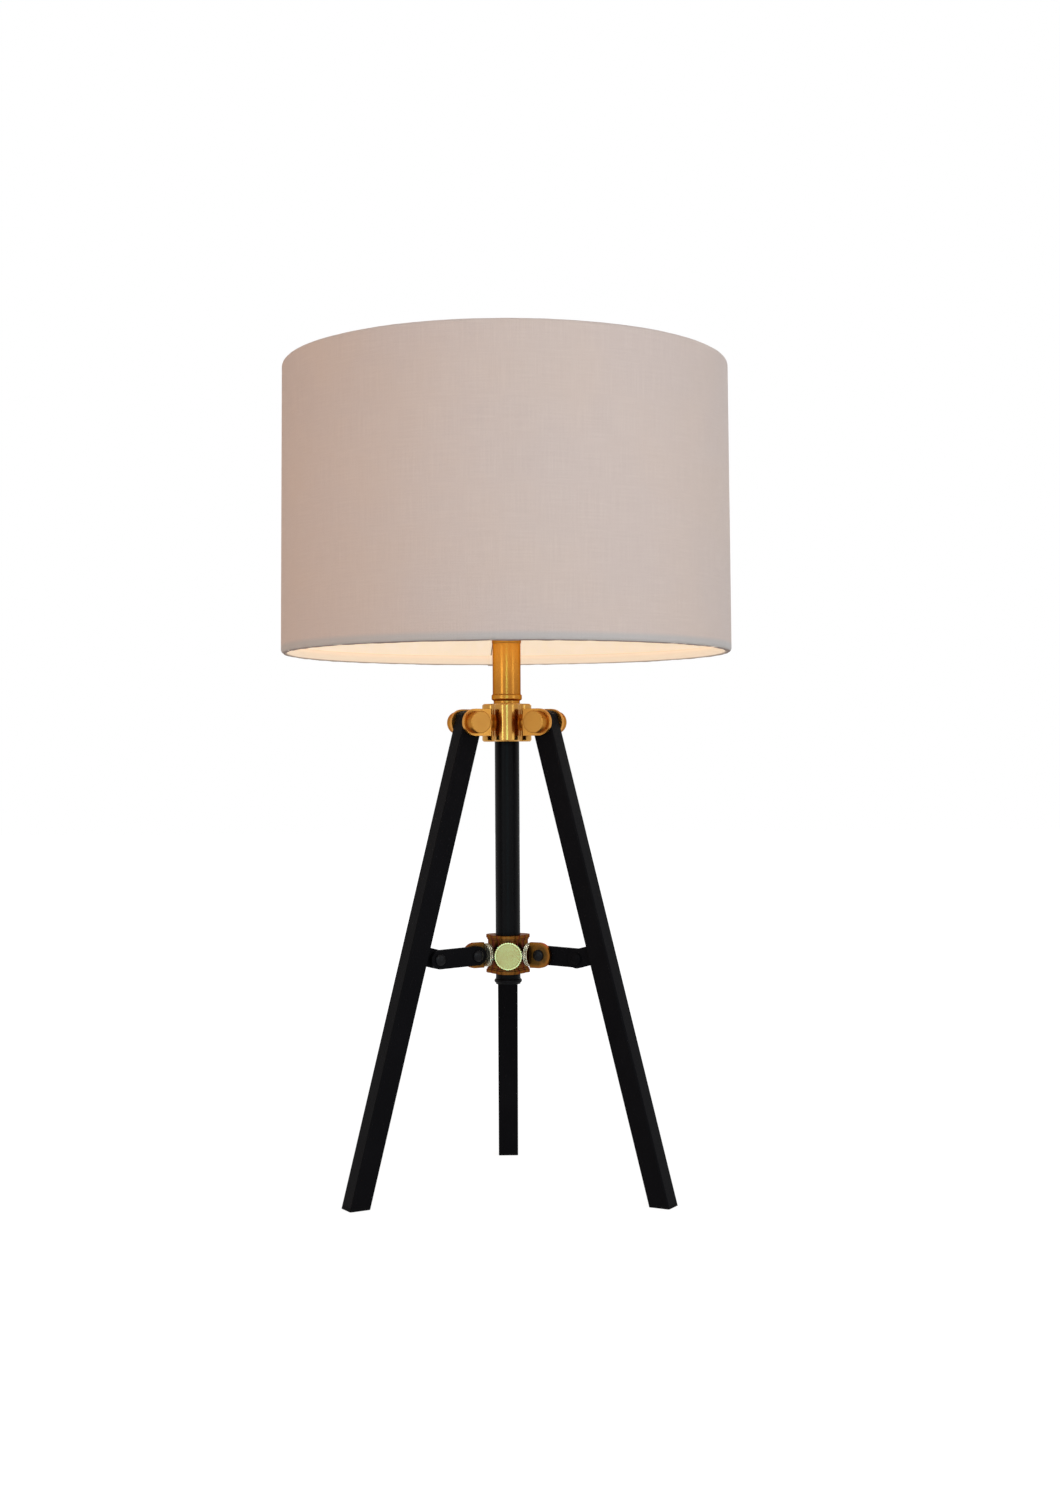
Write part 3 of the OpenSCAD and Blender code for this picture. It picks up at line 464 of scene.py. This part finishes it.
def card_finish():
    """The socket's fibre sleeve: short brown fibres along its length."""
    f = Finish("fibre_card")
    fibres = f.noise(900, 4.0, 0.7, (1.0, 1.0, 0.2), distortion=0.4)
    f.set(
        Base_Color=f.mix(f.ramp(fibres, 0.3, 0.7), (0.22, 0.15, 0.09), (0.36, 0.27, 0.17)),
        Roughness=0.85,
        Normal=f.bump(fibres, 0.4, 0.00008))
    return f.material


def bulb_metal_finish():
    """Pressed aluminium with faint upright drawing marks."""
    f = Finish("pressed_aluminium")
    marks = f.noise(1500, 3.0, 0.6, GRAIN_UPRIGHT)
    f.set(
        Base_Color=f.mix(f.ramp(marks, 0.3, 0.7), (0.58, 0.58, 0.57), (0.74, 0.74, 0.73)),
        Metallic=1.0,
        Roughness=f.ramp(marks, 0.3, 0.7, 0.28, 0.42),
        Normal=f.bump(marks, 0.3, 0.00003))
    return f.material


def bulb_glass_finish():
    """Lit frosted glass: warm, and more orange at its neck."""
    glow = 0.62
    f = Finish("lit_frosted_glass")
    low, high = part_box("bulb_glass")
    above_neck = f.ramp(f.height(), low[2], low[2] + 0.35 * (high[2] - low[2]))
    frost = f.noise(700, 3.0, 0.6)
    f.set(
        Base_Color=f.mix(f.ramp(frost, 0.3, 0.7), (0.46, 0.42, 0.35), (0.52, 0.48, 0.41)),
        Roughness=0.5,
        Normal=f.bump(frost, 0.15, 0.00005),
        Emission_Color=f.mix(above_neck, (1.0, 0.55, 0.24), (1.0, 0.74, 0.44)),
        Emission_Strength=glow)
    return f.material


def liner_finish(shade):
    """White styrene, matt, with a faint laminate texture and the bulb's light on it painted in as a warm
    glow.
    """
    # The bulb's light on the liner is painted in as a warm glow.
    glow = 0.29
    f = Finish("white_styrene")
    mottled = f.noise(90, 3.0, 0.5)
    fine = f.noise(1600, 2.0, 0.6)
    paler = tuple(min(1.0, c * 1.06) for c in shade.liner_colour)
    f.set(
        Base_Color=f.mix(f.ramp(mottled, 0.3, 0.7), shade.liner_colour, paler),
        Roughness=0.6,
        Normal=f.bump(fine, 0.12, 0.00004),
        Emission_Color=f.mix(f.ramp(mottled, 0.2, 0.8), (1.0, 0.74, 0.49), (1.0, 0.77, 0.53)),
        Emission_Strength=glow)
    return f.material


def lap_shadow_finish():
    """A thin brown line painted along the liner's lapped end: the shadow under its edge."""
    f = Finish("lap_shadow_line")
    uneven = f.noise(700, 3.0, 0.6)
    f.set(
        Base_Color=f.mix(f.ramp(uneven, 0.3, 0.7), (0.16, 0.10, 0.06), (0.30, 0.20, 0.12)),
        Roughness=0.5,
        Normal=f.bump(uneven, 0.3, 0.00005))
    return f.material


def weave(f, flat, pitch):
    """The height of the threads of a plain weave, and the slubs in both thread directions."""
    parts = f.add("SeparateXYZ", {"Vector": flat})
    turns = math.pi / pitch
    wander = f.math("MULTIPLY", f.math("SUBTRACT", f.noise(160, 2.0, 0.5, vector=flat), 0.5), 2.4)
    warp = f.math("SINE", f.math("ADD", f.math("MULTIPLY", parts.outputs["X"], turns), wander))
    weft = f.math("SINE", f.math("ADD", f.math("MULTIPLY", parts.outputs["Y"], turns), wander))
    over = f.math("GREATER_THAN", f.math("MULTIPLY", warp, weft), 0.0)
    threads = f.math("ADD", f.math("MULTIPLY", f.math("ABSOLUTE", warp), over),
                     f.math("MULTIPLY", f.math("ABSOLUTE", weft), f.math("SUBTRACT", 1.0, over)))
    slub_level = f.noise(1.0, 3.0, 0.6, (34, 1150, 1), flat)
    slub_upright = f.noise(1.0, 3.0, 0.6, (1150, 30, 1), flat)
    slubs = f.math("ADD", f.ramp(slub_level, 0.35, 0.75), f.ramp(slub_upright, 0.35, 0.75))
    return threads, slubs


def turned_in(f, form, level):
    """1 on the linen that is turned to the inside of the shade, 0 on its outside."""
    from_axis = f.distance((0.0, 0.0, 0.0), (1.0, 1.0, 0.0))
    wall = f.ramp(level, form.bottom, form.top, form.bottom_r, form.top_r)
    inset = f.math("SUBTRACT", wall, from_axis)
    from_edge = f.math("MINIMUM", f.math("SUBTRACT", level, form.bottom),
                       f.math("SUBTRACT", form.top, level))
    behind_wall = f.ramp(inset, 0.0010, 0.0020)
    above_roll = f.ramp(from_edge, 0.0050, 0.0064)
    inside_roll = f.ramp(inset, 0.0030, 0.0052)
    return f.math("MAXIMUM", inside_roll, f.math("MULTIPLY", behind_wall, above_roll))


def linen_finish(shade, form):
    """Plain linen weave from the cloth's own flat map, with the bulb's light painted in as a glow.

    The bottom roll has painted cooler light on its outside and painted shade on its underside.
    """
    thread_depth, bulb_reach = 0.00016, 0.16
    # heights over the bottom edge between which the painted cool band and the painted shade under the fold
    # end
    band_low, band_high, fold_low, fold_high = 0.0042, 0.0088, 0.0003, 0.0012
    pale_slub, warm_patch = (0.68, 0.61, 0.56), (0.60, 0.47, 0.37)
    near_light, far_light, inside_light = (1.0, 0.66, 0.40), (0.62, 0.36, 0.19), (1.0, 0.74, 0.49)
    f = Finish("linen_weave")
    flat = f.add("UVMap", uv_map="flat_cloth").outputs["UV"]
    threads, slubs = weave(f, flat, shade.thread_pitch)
    height = f.math("ADD", f.math("MULTIPLY", threads, 0.7), f.math("MULTIPLY", slubs, 0.5))
    patches = f.noise(11, 3.0, 0.5, vector=flat)
    thread_tone = f.mix(f.ramp(threads, 0.1, 0.8), shade.cloth_shade, shade.cloth_colour)
    slub_tone = f.mix(f.math("MULTIPLY", slubs, 0.15), thread_tone, pale_slub)
    warm = f.mix(f.ramp(patches, 0.35, 0.7, 0.0, 0.14), slub_tone, warm_patch)
    level = f.height()
    # Painted light: a cooler band on the bottom roll, for the cool light it catches from below.
    cool_light_band = f.ramp(level, form.bottom + band_low, form.bottom + band_high, 0.7, 0.0)
    # Painted shade: a dark brown band on the roll's underside.
    underside = f.ramp(level, form.bottom + fold_high, form.bottom + fold_low, 0.0, 0.7)
    inner = turned_in(f, form, level)
    low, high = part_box("bulb_glass")
    from_bulb = f.math("ABSOLUTE", f.math("SUBTRACT", level, 0.5 * (low[2] + high[2])))
    through = f.mix(f.ramp(from_bulb, 0.0, bulb_reach), near_light, far_light)
    f.set(
        Base_Color=f.mix(underside, f.mix(cool_light_band, warm, shade.rolled_edge_light), shade.fold_shade_colour),
        Roughness=0.86,
        Normal=f.bump(height, 0.5, thread_depth),
        Specular_IOR_Level=0.2,
        Sheen_Weight=0.12, Sheen_Roughness=0.5,
        Emission_Color=f.mix(inner, through, inside_light),
        Emission_Strength=f.math("MULTIPLY", f.math("SUBTRACT", 1.0, underside),
                                 f.math("ADD", f.math("MULTIPLY", inner, shade.inner_glow), shade.glow)))
    return f.material


# Mesh helpers

def piece_from(name, bm, body, material, smooth):
    """A mesh piece that rides on a body."""
    mesh = bpy.data.meshes.new(name)
    bmesh.ops.recalc_face_normals(bm, faces=bm.faces)
    bm.to_mesh(mesh)
    bm.free()
    if smooth:
        mesh.shade_smooth()
    piece = bpy.data.objects.new(name, mesh)
    bpy.context.scene.collection.objects.link(piece)
    mesh.materials.append(material)
    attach(piece, body)
    return piece


def finish_node(node, material):
    """Gives a carried-over solid its material."""
    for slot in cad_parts[node].material_slots:
        slot.material = material


def smoothstep(x):
    x = min(1.0, max(0.0, x))
    return x * x * (3 - 2 * x)


def arc(x, z, r, start, end, count):
    """Points of an arc around (x, z), from one angle in degrees to another."""
    turn = [math.radians(start + (end - start) * i / count) for i in range(count + 1)]
    return [(x + r * math.cos(a), z + r * math.sin(a)) for a in turn]


# The shade

class ShadeForm:
    """The drum's sizes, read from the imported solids."""

    def __init__(self):
        low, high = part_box("shade_bottom_hem")
        self.bottom = low[2]
        self.bottom_r = (high[0] - low[0]) / 2
        low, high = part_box("shade_top_hem")
        self.top = high[2]
        self.top_r = (high[0] - low[0]) / 2

    def radius(self, z):
        t = (z - self.bottom) / (self.top - self.bottom)
        return self.bottom_r + (self.top_r - self.bottom_r) * t


def cloth_path(shade, form):
    """The cloth's middle line, from inside the bottom ring to inside the top ring.

    Its points are (inset from the shade's outside, height over its bottom edge)."""
    roll_steps, wall_steps = 14, 26
    half = shade.cloth_thickness / 2
    roll = shade.roll_radius
    inset = half + roll
    height = form.top - form.bottom
    # the turned-in edge lies on the liner, then goes round the liner's rim and the ring
    edge = [(0.0026, 0.0092), (0.0027, 0.0084), (0.0034, 0.0076), (0.0047, 0.0069)]
    edge.append((inset + roll - 0.0003, 0.0057))
    bottom = edge + arc(inset, half + roll, roll, 0, -180, roll_steps)
    straight = height - 2 * (half + roll)
    wall = [(half, half + roll + straight * i / wall_steps) for i in range(1, wall_steps)]
    top = [(x, height - z) for x, z in reversed(bottom)]
    return bottom + wall + top


def cloth_wave(angle, z, height):
    """Small uneven places of a hand-glued cloth, in metres: most at the rolled edges."""
    edge_band, slow_wave, edge_wave = 0.012, 0.00008, 0.00011
    near_edge = max(smoothstep(1 - z / edge_band), 0.35 * smoothstep(1 - (height - z) / edge_band))
    slow = math.sin(3 * angle + 0.7) + 0.6 * math.sin(7 * angle + 2.1) + 0.4 * math.sin(11 * angle - 1.2)
    quick = (math.sin(37 * angle + 4 * math.sin(5 * angle))
             + 0.7 * math.sin(61 * angle + 3 * math.sin(9 * angle)))
    return slow_wave * slow + edge_wave * near_edge * quick


def build_cloth(shade, form, material):
    """One sheet of linen, rolled around both rings, with its ends lapped and glued at the back."""
    lap_faces, lift_gap, lift_run = 6, 0.00006, 0.006
    path = [Vector((form.radius(form.bottom + z) - inset, z)) for inset, z in cloth_path(shade, form)]
    run = [0.0]
    for a, b in zip(path, path[1:]):
        run.append(run[-1] + (b - a).length)
    normals = []
    for i in range(len(path)):
        step = path[min(i + 1, len(path) - 1)] - path[max(i - 1, 0)]
        normals.append(Vector((step.y, -step.x)).normalized())
    lap = shade.seam_lap / form.bottom_r
    whole = 2 * math.pi + lap
    count = shade.around + lap_faces
    half = shade.cloth_thickness / 2
    height = form.top - form.bottom
    bm = bmesh.new()
    flat = bm.loops.layers.uv.new("flat_cloth")
    rows = []
    for i in range(count + 1):
        turned = whole * i / count
        angle = shade.seam_angle + turned
        onto_lap = smoothstep((turned - 2 * math.pi + lift_run) / lift_run)
        lift = (shade.cloth_thickness + lift_gap) * onto_lap
        along = (math.cos(angle), math.sin(angle))
        sides = []
        for sign in (1, -1):
            side = []
            for point, normal in zip(path, normals):
                wave = cloth_wave(angle, point.y, height)
                p = point + normal * (sign * half + lift + wave)
                side.append(bm.verts.new((p.x * along[0], p.x * along[1], form.bottom + p.y)))
            sides.append(side)
        rows.append((turned * form.bottom_r, sides))
    last = len(path) - 1

    def face(verts, maps):
        made = bm.faces.new(verts)
        for loop, uv in zip(made.loops, maps):
            loop[flat].uv = uv

    for (u0, a), (u1, b) in zip(rows, rows[1:]):
        for side in (0, 1):
            for j in range(last):
                face((a[side][j], b[side][j], b[side][j + 1], a[side][j + 1]),
                     ((u0, run[j]), (u1, run[j]), (u1, run[j + 1]), (u0, run[j + 1])))
        for j in (0, last):
            face((a[0][j], b[0][j], b[1][j], a[1][j]),
                 ((u0, run[j]), (u1, run[j]), (u1, run[j] + half), (u0, run[j] + half)))
    for u, sides in (rows[0], rows[-1]):
        for j in range(last):
            face((sides[0][j], sides[0][j + 1], sides[1][j + 1], sides[1][j]),
                 ((u, run[j]), (u, run[j + 1]), (u + half, run[j + 1]), (u + half, run[j])))
    cloth = piece_from("linen_cover", bm, "shade", material, smooth=True)
    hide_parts("shade_cover", "shade_top_hem", "shade_bottom_hem")


def build_liner_seam(shade, form, material):
    """The liner's lapped end on the inside of the back, which leans a little at the bottom."""
    low, high = form.bottom + 0.0078, form.top - 0.010
    width, rise, steps = 0.010, 0.00045, 120
    middle_shift, buried = 0.0045, 0.0003
    # the strip's inset from the shade's outside, on the liner and on the cloth that is turned over it
    on_liner, on_cloth = 0.00252, 0.0030
    cloth_edge, step_height = form.bottom + 0.0135, 0.004
    lean, lean_height = 0.0021, 0.017
    # the strip's section, as (across, above the liner), with a small ridge of glue at its first edge
    outline = ((0.0, 0.0), (0.0009, rise), (0.0019, rise + 0.00025), (width - 0.0006, rise * 0.8),
               (width, 0.0))

    def point(r, angle, z):
        return bm.verts.new((r * math.cos(angle), r * math.sin(angle), z))

    bm = bmesh.new()
    rows = []
    for i in range(steps + 1):
        z = low + (high - low) * i / steps
        wall = form.radius(z) - on_liner
        r = wall - (on_cloth - on_liner) * smoothstep((cloth_edge - z) / step_height)
        shift = middle_shift + lean * max(0.0, 1 - (z - low) / lean_height)
        row = [point(r - off, shade.seam_angle + (shift - across) / r, z) for across, off in outline]
        row.append(point(wall + buried, shade.seam_angle + (shift - width / 2) / r, z))
        rows.append(row)
    for a, b in zip(rows, rows[1:]):
        for j in range(len(a)):
            k = (j + 1) % len(a)
            # The first face, along the lap's edge, takes the painted shadow line.
            bm.faces.new((a[j], b[j], b[k], a[k])).material_index = 1 if j == 0 else 0
    bm.faces.new(rows[0])
    bm.faces.new(list(reversed(rows[-1])))
    seam = piece_from("liner_seam", bm, "shade", material, smooth=False)
    seam.data.materials.append(lap_shadow_finish())


class LAMP_OT_shade(Operator):
    """Make the linen cover and the liner's seam, and finish the liner and the ring wires"""
    bl_idname = "lamp.shade"
    bl_label = "Shade"

    def execute(self, context):
        shade = context.scene.lamp_shade
        metal = context.scene.lamp_metal
        form = ShadeForm()
        build_cloth(shade, form, linen_finish(shade, form))
        styrene = liner_finish(shade)
        finish_node("shade_liner", styrene)
        build_liner_seam(shade, form, styrene)
        wire = steel_finish("ring_wire", metal.steel_colour, metal.edge_radius)
        for node in ("shade_top_ring", "shade_spider", "shade_bottom_ring"):
            finish_node(node, wire)
        return {"FINISHED"}


class LAMP_OT_brass(Operator):
    """Finish the hub, the forks, the neck, the collar, the lugs and the knob in brass"""
    bl_idname = "lamp.brass"
    bl_label = "Brass"

    def execute(self, context):
        metal = context.scene.lamp_metal
        colour, dark, edge = metal.brass_colour, metal.brass_dark, metal.edge_radius
        turned = brass_finish("turned_brass", colour, dark, edge, GRAIN_ROUND, roughness=0.28, reach=0.003)
        lobed = brass_finish("lobed_brass", metal.hub_colour, dark, edge, GRAIN_UPRIGHT, roughness=0.2,
                             depth=0.000004, reach=0.0004, tint=CLEAR_TINT)
        milled = brass_finish("milled_brass", scaled(metal.fork_colour, 1.15), dark, edge, GRAIN_EVEN,
                              roughness=0.34, reach=0.0005, tint=CLEAR_TINT)
        # The neck tube is painted darker at its foot, as painted shade below its lit top.
        tube_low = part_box("neck_tube")[0][2]
        drawn = brass_finish("drawn_brass_tube", scaled(colour, 1.4), dark, edge, GRAIN_UPRIGHT,
                             roughness=0.25, depth=0.000005, lower_shade=(tube_low, tube_low + 0.04))
        smooth = brass_finish("smooth_brass", scaled(metal.fork_colour, 0.92), dark, edge, GRAIN_EVEN,
                              roughness=0.38, depth=0.00001, coat=0.12)
        # The collar and the lugs get painted shade far out from their corners.
        aged = brass_finish("aged_brass", scaled(metal.aged_colour, 0.65), metal.aged_dark, edge,
                            GRAIN_ROUND, roughness=0.34, reach=0.012)
        cast = brass_finish("aged_cast_brass", metal.aged_colour, metal.aged_dark, edge, GRAIN_EVEN,
                            roughness=0.36, reach=0.008, patina_and_edge_light=(0.035, 0.024, 0.006), knurled=True)
        for node in ("neck_bead", "neck_top_ring"):
            finish_node(node, turned)
        finish_node("hub", lobed)
        finish_node("neck_tube", drawn)
        finish_node("collar", aged)
        for k in LEGS:
            finish_node("hub_fork_%d" % k, milled)
            finish_node("lug_%d" % k, cast)
        for node in ("pivot_bolts", "pivot_nuts"):
            finish_node(node, smooth)
        finish_node("locking_knob", knob_finish(metal))
        return {"FINISHED"}


class LAMP_OT_tripod(Operator):
    """Finish the legs, the column, the links and their screws in satin black"""
    bl_idname = "lamp.tripod"
    bl_label = "Black tripod"

    def execute(self, context):
        metal = context.scene.lamp_metal
        paint = black_finish("satin_black", metal.black_colour, metal.edge_radius)
        screws = black_finish("black_screws", scaled(metal.black_colour, 1.3), metal.edge_radius,
                              roughness=0.34, peel=3000, specular=0.1)
        rubber = plastic_finish("foot_rubber", (0.0032, 0.0031, 0.0036), metal.edge_radius,
                                roughness=0.7, specular=0.03)
        tube = black_finish("column_black", scaled(metal.black_colour, 0.8), metal.edge_radius,
                            roughness=0.36, specular=0.05)
        for node in ("column", "column_end_bead"):
            finish_node(node, tube)
        for k in LEGS:
            for node in ("leg_tube_%d", "leg_eye_%d", "leg_tab_%d", "link_%d"):
                finish_node(node % k, paint)
            finish_node("link_screw_%d" % k, screws)
            finish_node("foot_cap_%d" % k, rubber)
        for node in ("lug_screws", "lug_nuts"):
            finish_node(node, screws)
        return {"FINISHED"}


class LAMP_OT_light_parts(Operator):
    """Finish the harp, the finial, the socket, the switch key, the lamp pipe and the lit bulb"""
    bl_idname = "lamp.light_parts"
    bl_label = "Socket and bulb"

    def execute(self, context):
        metal = context.scene.lamp_metal
        colour, dark, edge = metal.brass_colour, metal.brass_dark, metal.edge_radius
        wire = brass_finish("harp_brass", scaled(colour, 0.95), dark, edge, GRAIN_EVEN, roughness=0.34)
        pressed = brass_finish("pressed_brass", (0.68, 0.45, 0.15), dark, edge, GRAIN_ROUND,
                               roughness=0.22, depth=0.00001)
        finial = brass_finish("finial_brass", colour, dark, edge, GRAIN_ROUND, roughness=0.26)
        steel = steel_finish("zinc_plate", metal.steel_colour, edge)
        key = plastic_finish("key_plastic", (0.014, 0.013, 0.012), edge, roughness=0.4)
        moulded = plastic_finish("moulded_black", (0.018, 0.017, 0.016), edge, roughness=0.5)
        for node in ("harp", "harp_saddle", "harp_sleeves"):
            finish_node(node, wire)
        for node in ("socket_cap", "socket_shell", "socket_screw_shell"):
            finish_node(node, pressed)
        finish_node("finial", finial)
        finish_node("socket_sleeve", card_finish())
        finish_node("switch_key", key)
        for node in ("socket_body", "cord_bushing"):
            finish_node(node, moulded)
        for node in ("lamp_pipe", "pipe_nut"):
            finish_node(node, steel)
        finish_node("bulb_base", bulb_metal_finish())
        finish_node("bulb_glass", bulb_glass_finish())
        return {"FINISHED"}


# The stage

# Where the lamps point, and the colours of their light
LIT_POINT = Vector((0.0, 0.0, 0.45))
WARM_LIGHT = (1.0, 0.46, 0.11)
COOL_LIGHT = (0.70, 0.92, 1.0)
CYAN_LIGHT = (0.25, 0.85, 1.0)
BULB_LIGHT = (1.0, 0.72, 0.45)


def seen_by_lens(shader):
    """1 for the camera's rays and for those that metal and glass pass on, 0 for light on matt surfaces."""
    rays = shader.add("LightPath").outputs
    either = shader.math("MAXIMUM", rays["Is Camera Ray"], rays["Is Glossy Ray"])
    return shader.math("MAXIMUM", either, rays["Is Transmission Ray"])


def build_floor(stage):
    """A pale floor with a soft shadow, which the lens sees as white away from the lamp."""
    under_feet, white_level = 0.0002, 1.1
    shadow_radius, white_radius, shadow_share = 0.3, 1.2, 0.84
    bm = bmesh.new()
    bmesh.ops.create_grid(bm, x_segments=8, y_segments=8, size=stage.floor_size / 2)
    mesh = bpy.data.meshes.new("floor")
    bm.to_mesh(mesh)
    bm.free()
    floor = bpy.data.objects.new("floor", mesh)
    floor.location.z = -under_feet
    bpy.context.scene.collection.objects.link(floor)
    f = Finish("pale_floor")
    f.set(Base_Color=stage.floor_colour, Roughness=0.9, Specular_IOR_Level=0.1)
    white = f.add("Emission", {"Color": WHITE, "Strength": white_level})
    from_middle = f.distance((0.0, 0.0, 0.0), (1.0, 1.0, 1.0))
    share = f.ramp(from_middle, shadow_radius, white_radius, shadow_share, 1.0)
    shown = f.add("MixShader", {"Fac": f.math("MULTIPLY", seen_by_lens(f), share)})
    f.join(f.surface.outputs["BSDF"], shown.inputs[1])
    f.join(white.outputs["Emission"], shown.inputs[2])
    f.join(shown.outputs["Shader"], f.output.inputs["Surface"])
    mesh.materials.append(f.material)


def build_room(stage):
    """Even light from all around, which the lens sees as white."""
    world = bpy.data.worlds.new("studio")
    bpy.context.scene.world = world
    room = Shader(world)
    level = room.ramp(seen_by_lens(room), 0.0, 1.0, stage.room_level, 1.0)
    back = room.add("Background", {"Color": WHITE, "Strength": level})
    out = room.add("OutputWorld")
    room.join(back.outputs["Background"], out.inputs["Surface"])


def add_lamp(name, kind, place, power, colour, **settings):
    """A lamp that the camera doesn't see."""
    data = bpy.data.lights.new(name, kind)
    data.energy = power
    data.color = colour
    for key, value in settings.items():
        setattr(data, key, value)
    lamp = bpy.data.objects.new(name, data)
    bpy.context.scene.collection.objects.link(lamp)
    lamp.location = place
    lamp.visible_camera = False
    return lamp


def add_panel(name, place, size, power, colour=WHITE, in_metal=True, on_cloth=True):
    """A flat lamp that points at the shade's lower half.

    in_metal=False keeps it out of all reflections, and on_cloth=False keeps it off matt surfaces."""
    lamp = add_lamp(name, "AREA", place, power, colour, shape="RECTANGLE", size=size[0], size_y=size[1])
    lamp.visible_glossy = in_metal
    lamp.visible_diffuse = on_cloth
    lamp.rotation_euler = (LIT_POINT - Vector(place)).to_track_quat("-Z", "Y").to_euler()


def build_camera(stage):
    """The camera stands where the photograph was taken from."""
    data = bpy.data.cameras.new("camera")
    data.sensor_fit = "VERTICAL"
    data.sensor_height = SENSOR_HEIGHT
    data.lens = stage.focal_px / PHOTO_HEIGHT_PX * SENSOR_HEIGHT
    data.dof.use_dof = False
    camera = bpy.data.objects.new("camera", data)
    bpy.context.scene.collection.objects.link(camera)
    away = stage.camera_distance
    turn = stage.lamp_turn
    place = Vector((-away * math.sin(turn), -away * math.cos(turn), stage.camera_height))
    heading = -turn - stage.camera_yaw
    aim = (Matrix.Rotation(heading, 4, "Z") @ Matrix.Rotation(math.pi / 2 + stage.camera_pitch, 4, "X")
           @ Matrix.Rotation(stage.camera_roll, 4, "Z"))
    camera.matrix_world = Matrix.Translation(place) @ aim
    bpy.context.scene.camera = camera


class LAMP_OT_stage(Operator):
    """Add the floor, the soft light and the camera"""
    bl_idname = "lamp.stage"
    bl_label = "Stage"

    def execute(self, context):
        stage = context.scene.lamp_stage
        context.scene.view_settings.view_transform = "Standard"
        build_floor(stage)
        build_room(stage)
        build_camera(stage)
        add_panel("right_lamp", (1.75, -1.35, 1.15), (1.3, 1.9), stage.right_power, in_metal=False)
        add_panel("left_lamp", (-1.4, -1.75, 0.9), (0.3, 1.4), stage.left_power, in_metal=False)
        add_panel("front_lamp", (0.25, -2.6, 1.6), (1.6, 0.9), stage.front_power)
        add_panel("side_lamp", (-2.2, -0.4, 0.9), (0.7, 1.2), stage.side_power, WARM_LIGHT, in_metal=False)
        add_panel("back_lamp", (1.1, 2.5, 1.4), (1.6, 1.2), stage.back_power)
        add_panel("left_edge_lamp", (-1.4, -1.7, 0.8), (0.3, 1.4), stage.left_edge_power, COOL_LIGHT,
                  on_cloth=False)
        add_panel("right_edge_lamp", (1.8, -1.3, 0.8), (0.3, 1.4), stage.right_edge_power, COOL_LIGHT,
                  on_cloth=False)
        add_panel("strip_lamp", (0.02, -2.45, 0.45), (0.2, 0.9), stage.strip_power, CYAN_LIGHT,
                  on_cloth=False)
        above_middle, bulb_radius = 0.012, 0.031
        low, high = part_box("bulb_glass")
        place = (0.0, 0.0, 0.5 * (low[2] + high[2]) + above_middle)
        add_lamp("bulb_light", "POINT", place, stage.bulb_power, BULB_LIGHT, shadow_soft_size=bulb_radius)
        return {"FINISHED"}


class LAMP_PT_panel(Panel):
    """Lists the lamp's settings and steps in the sidebar"""
    bl_idname = "LAMP_PT_panel"
    bl_label = "Table lamp"
    bl_space_type = "VIEW_3D"
    bl_region_type = "UI"
    bl_category = "Lamp"

    def draw(self, context):
        layout = self.layout
        for group in ("lamp_shade", "lamp_metal", "lamp_stage"):
            settings = getattr(context.scene, group)
            box = layout.box()
            for name in settings.__annotations__:
                box.prop(settings, name)
        for step in STEPS:
            layout.operator(step.bl_idname)


STEPS = (LAMP_OT_shade, LAMP_OT_brass, LAMP_OT_tripod, LAMP_OT_light_parts, LAMP_OT_stage)
CLASSES = (LampShadeSettings, LampMetalSettings, LampStageSettings) + STEPS + (LAMP_PT_panel,)


def register():
    for cls in CLASSES:
        bpy.utils.register_class(cls)
    bpy.types.Scene.lamp_shade = PointerProperty(type=LampShadeSettings)
    bpy.types.Scene.lamp_metal = PointerProperty(type=LampMetalSettings)
    bpy.types.Scene.lamp_stage = PointerProperty(type=LampStageSettings)


def unregister():
    del bpy.types.Scene.lamp_stage
    del bpy.types.Scene.lamp_metal
    del bpy.types.Scene.lamp_shade
    for cls in reversed(CLASSES):
        bpy.utils.unregister_class(cls)


def main():
    register()
    bpy.ops.lamp.shade()
    bpy.ops.lamp.brass()
    bpy.ops.lamp.tripod()
    bpy.ops.lamp.light_parts()
    bpy.ops.lamp.stage()


if __name__ == "__main__":
    main()
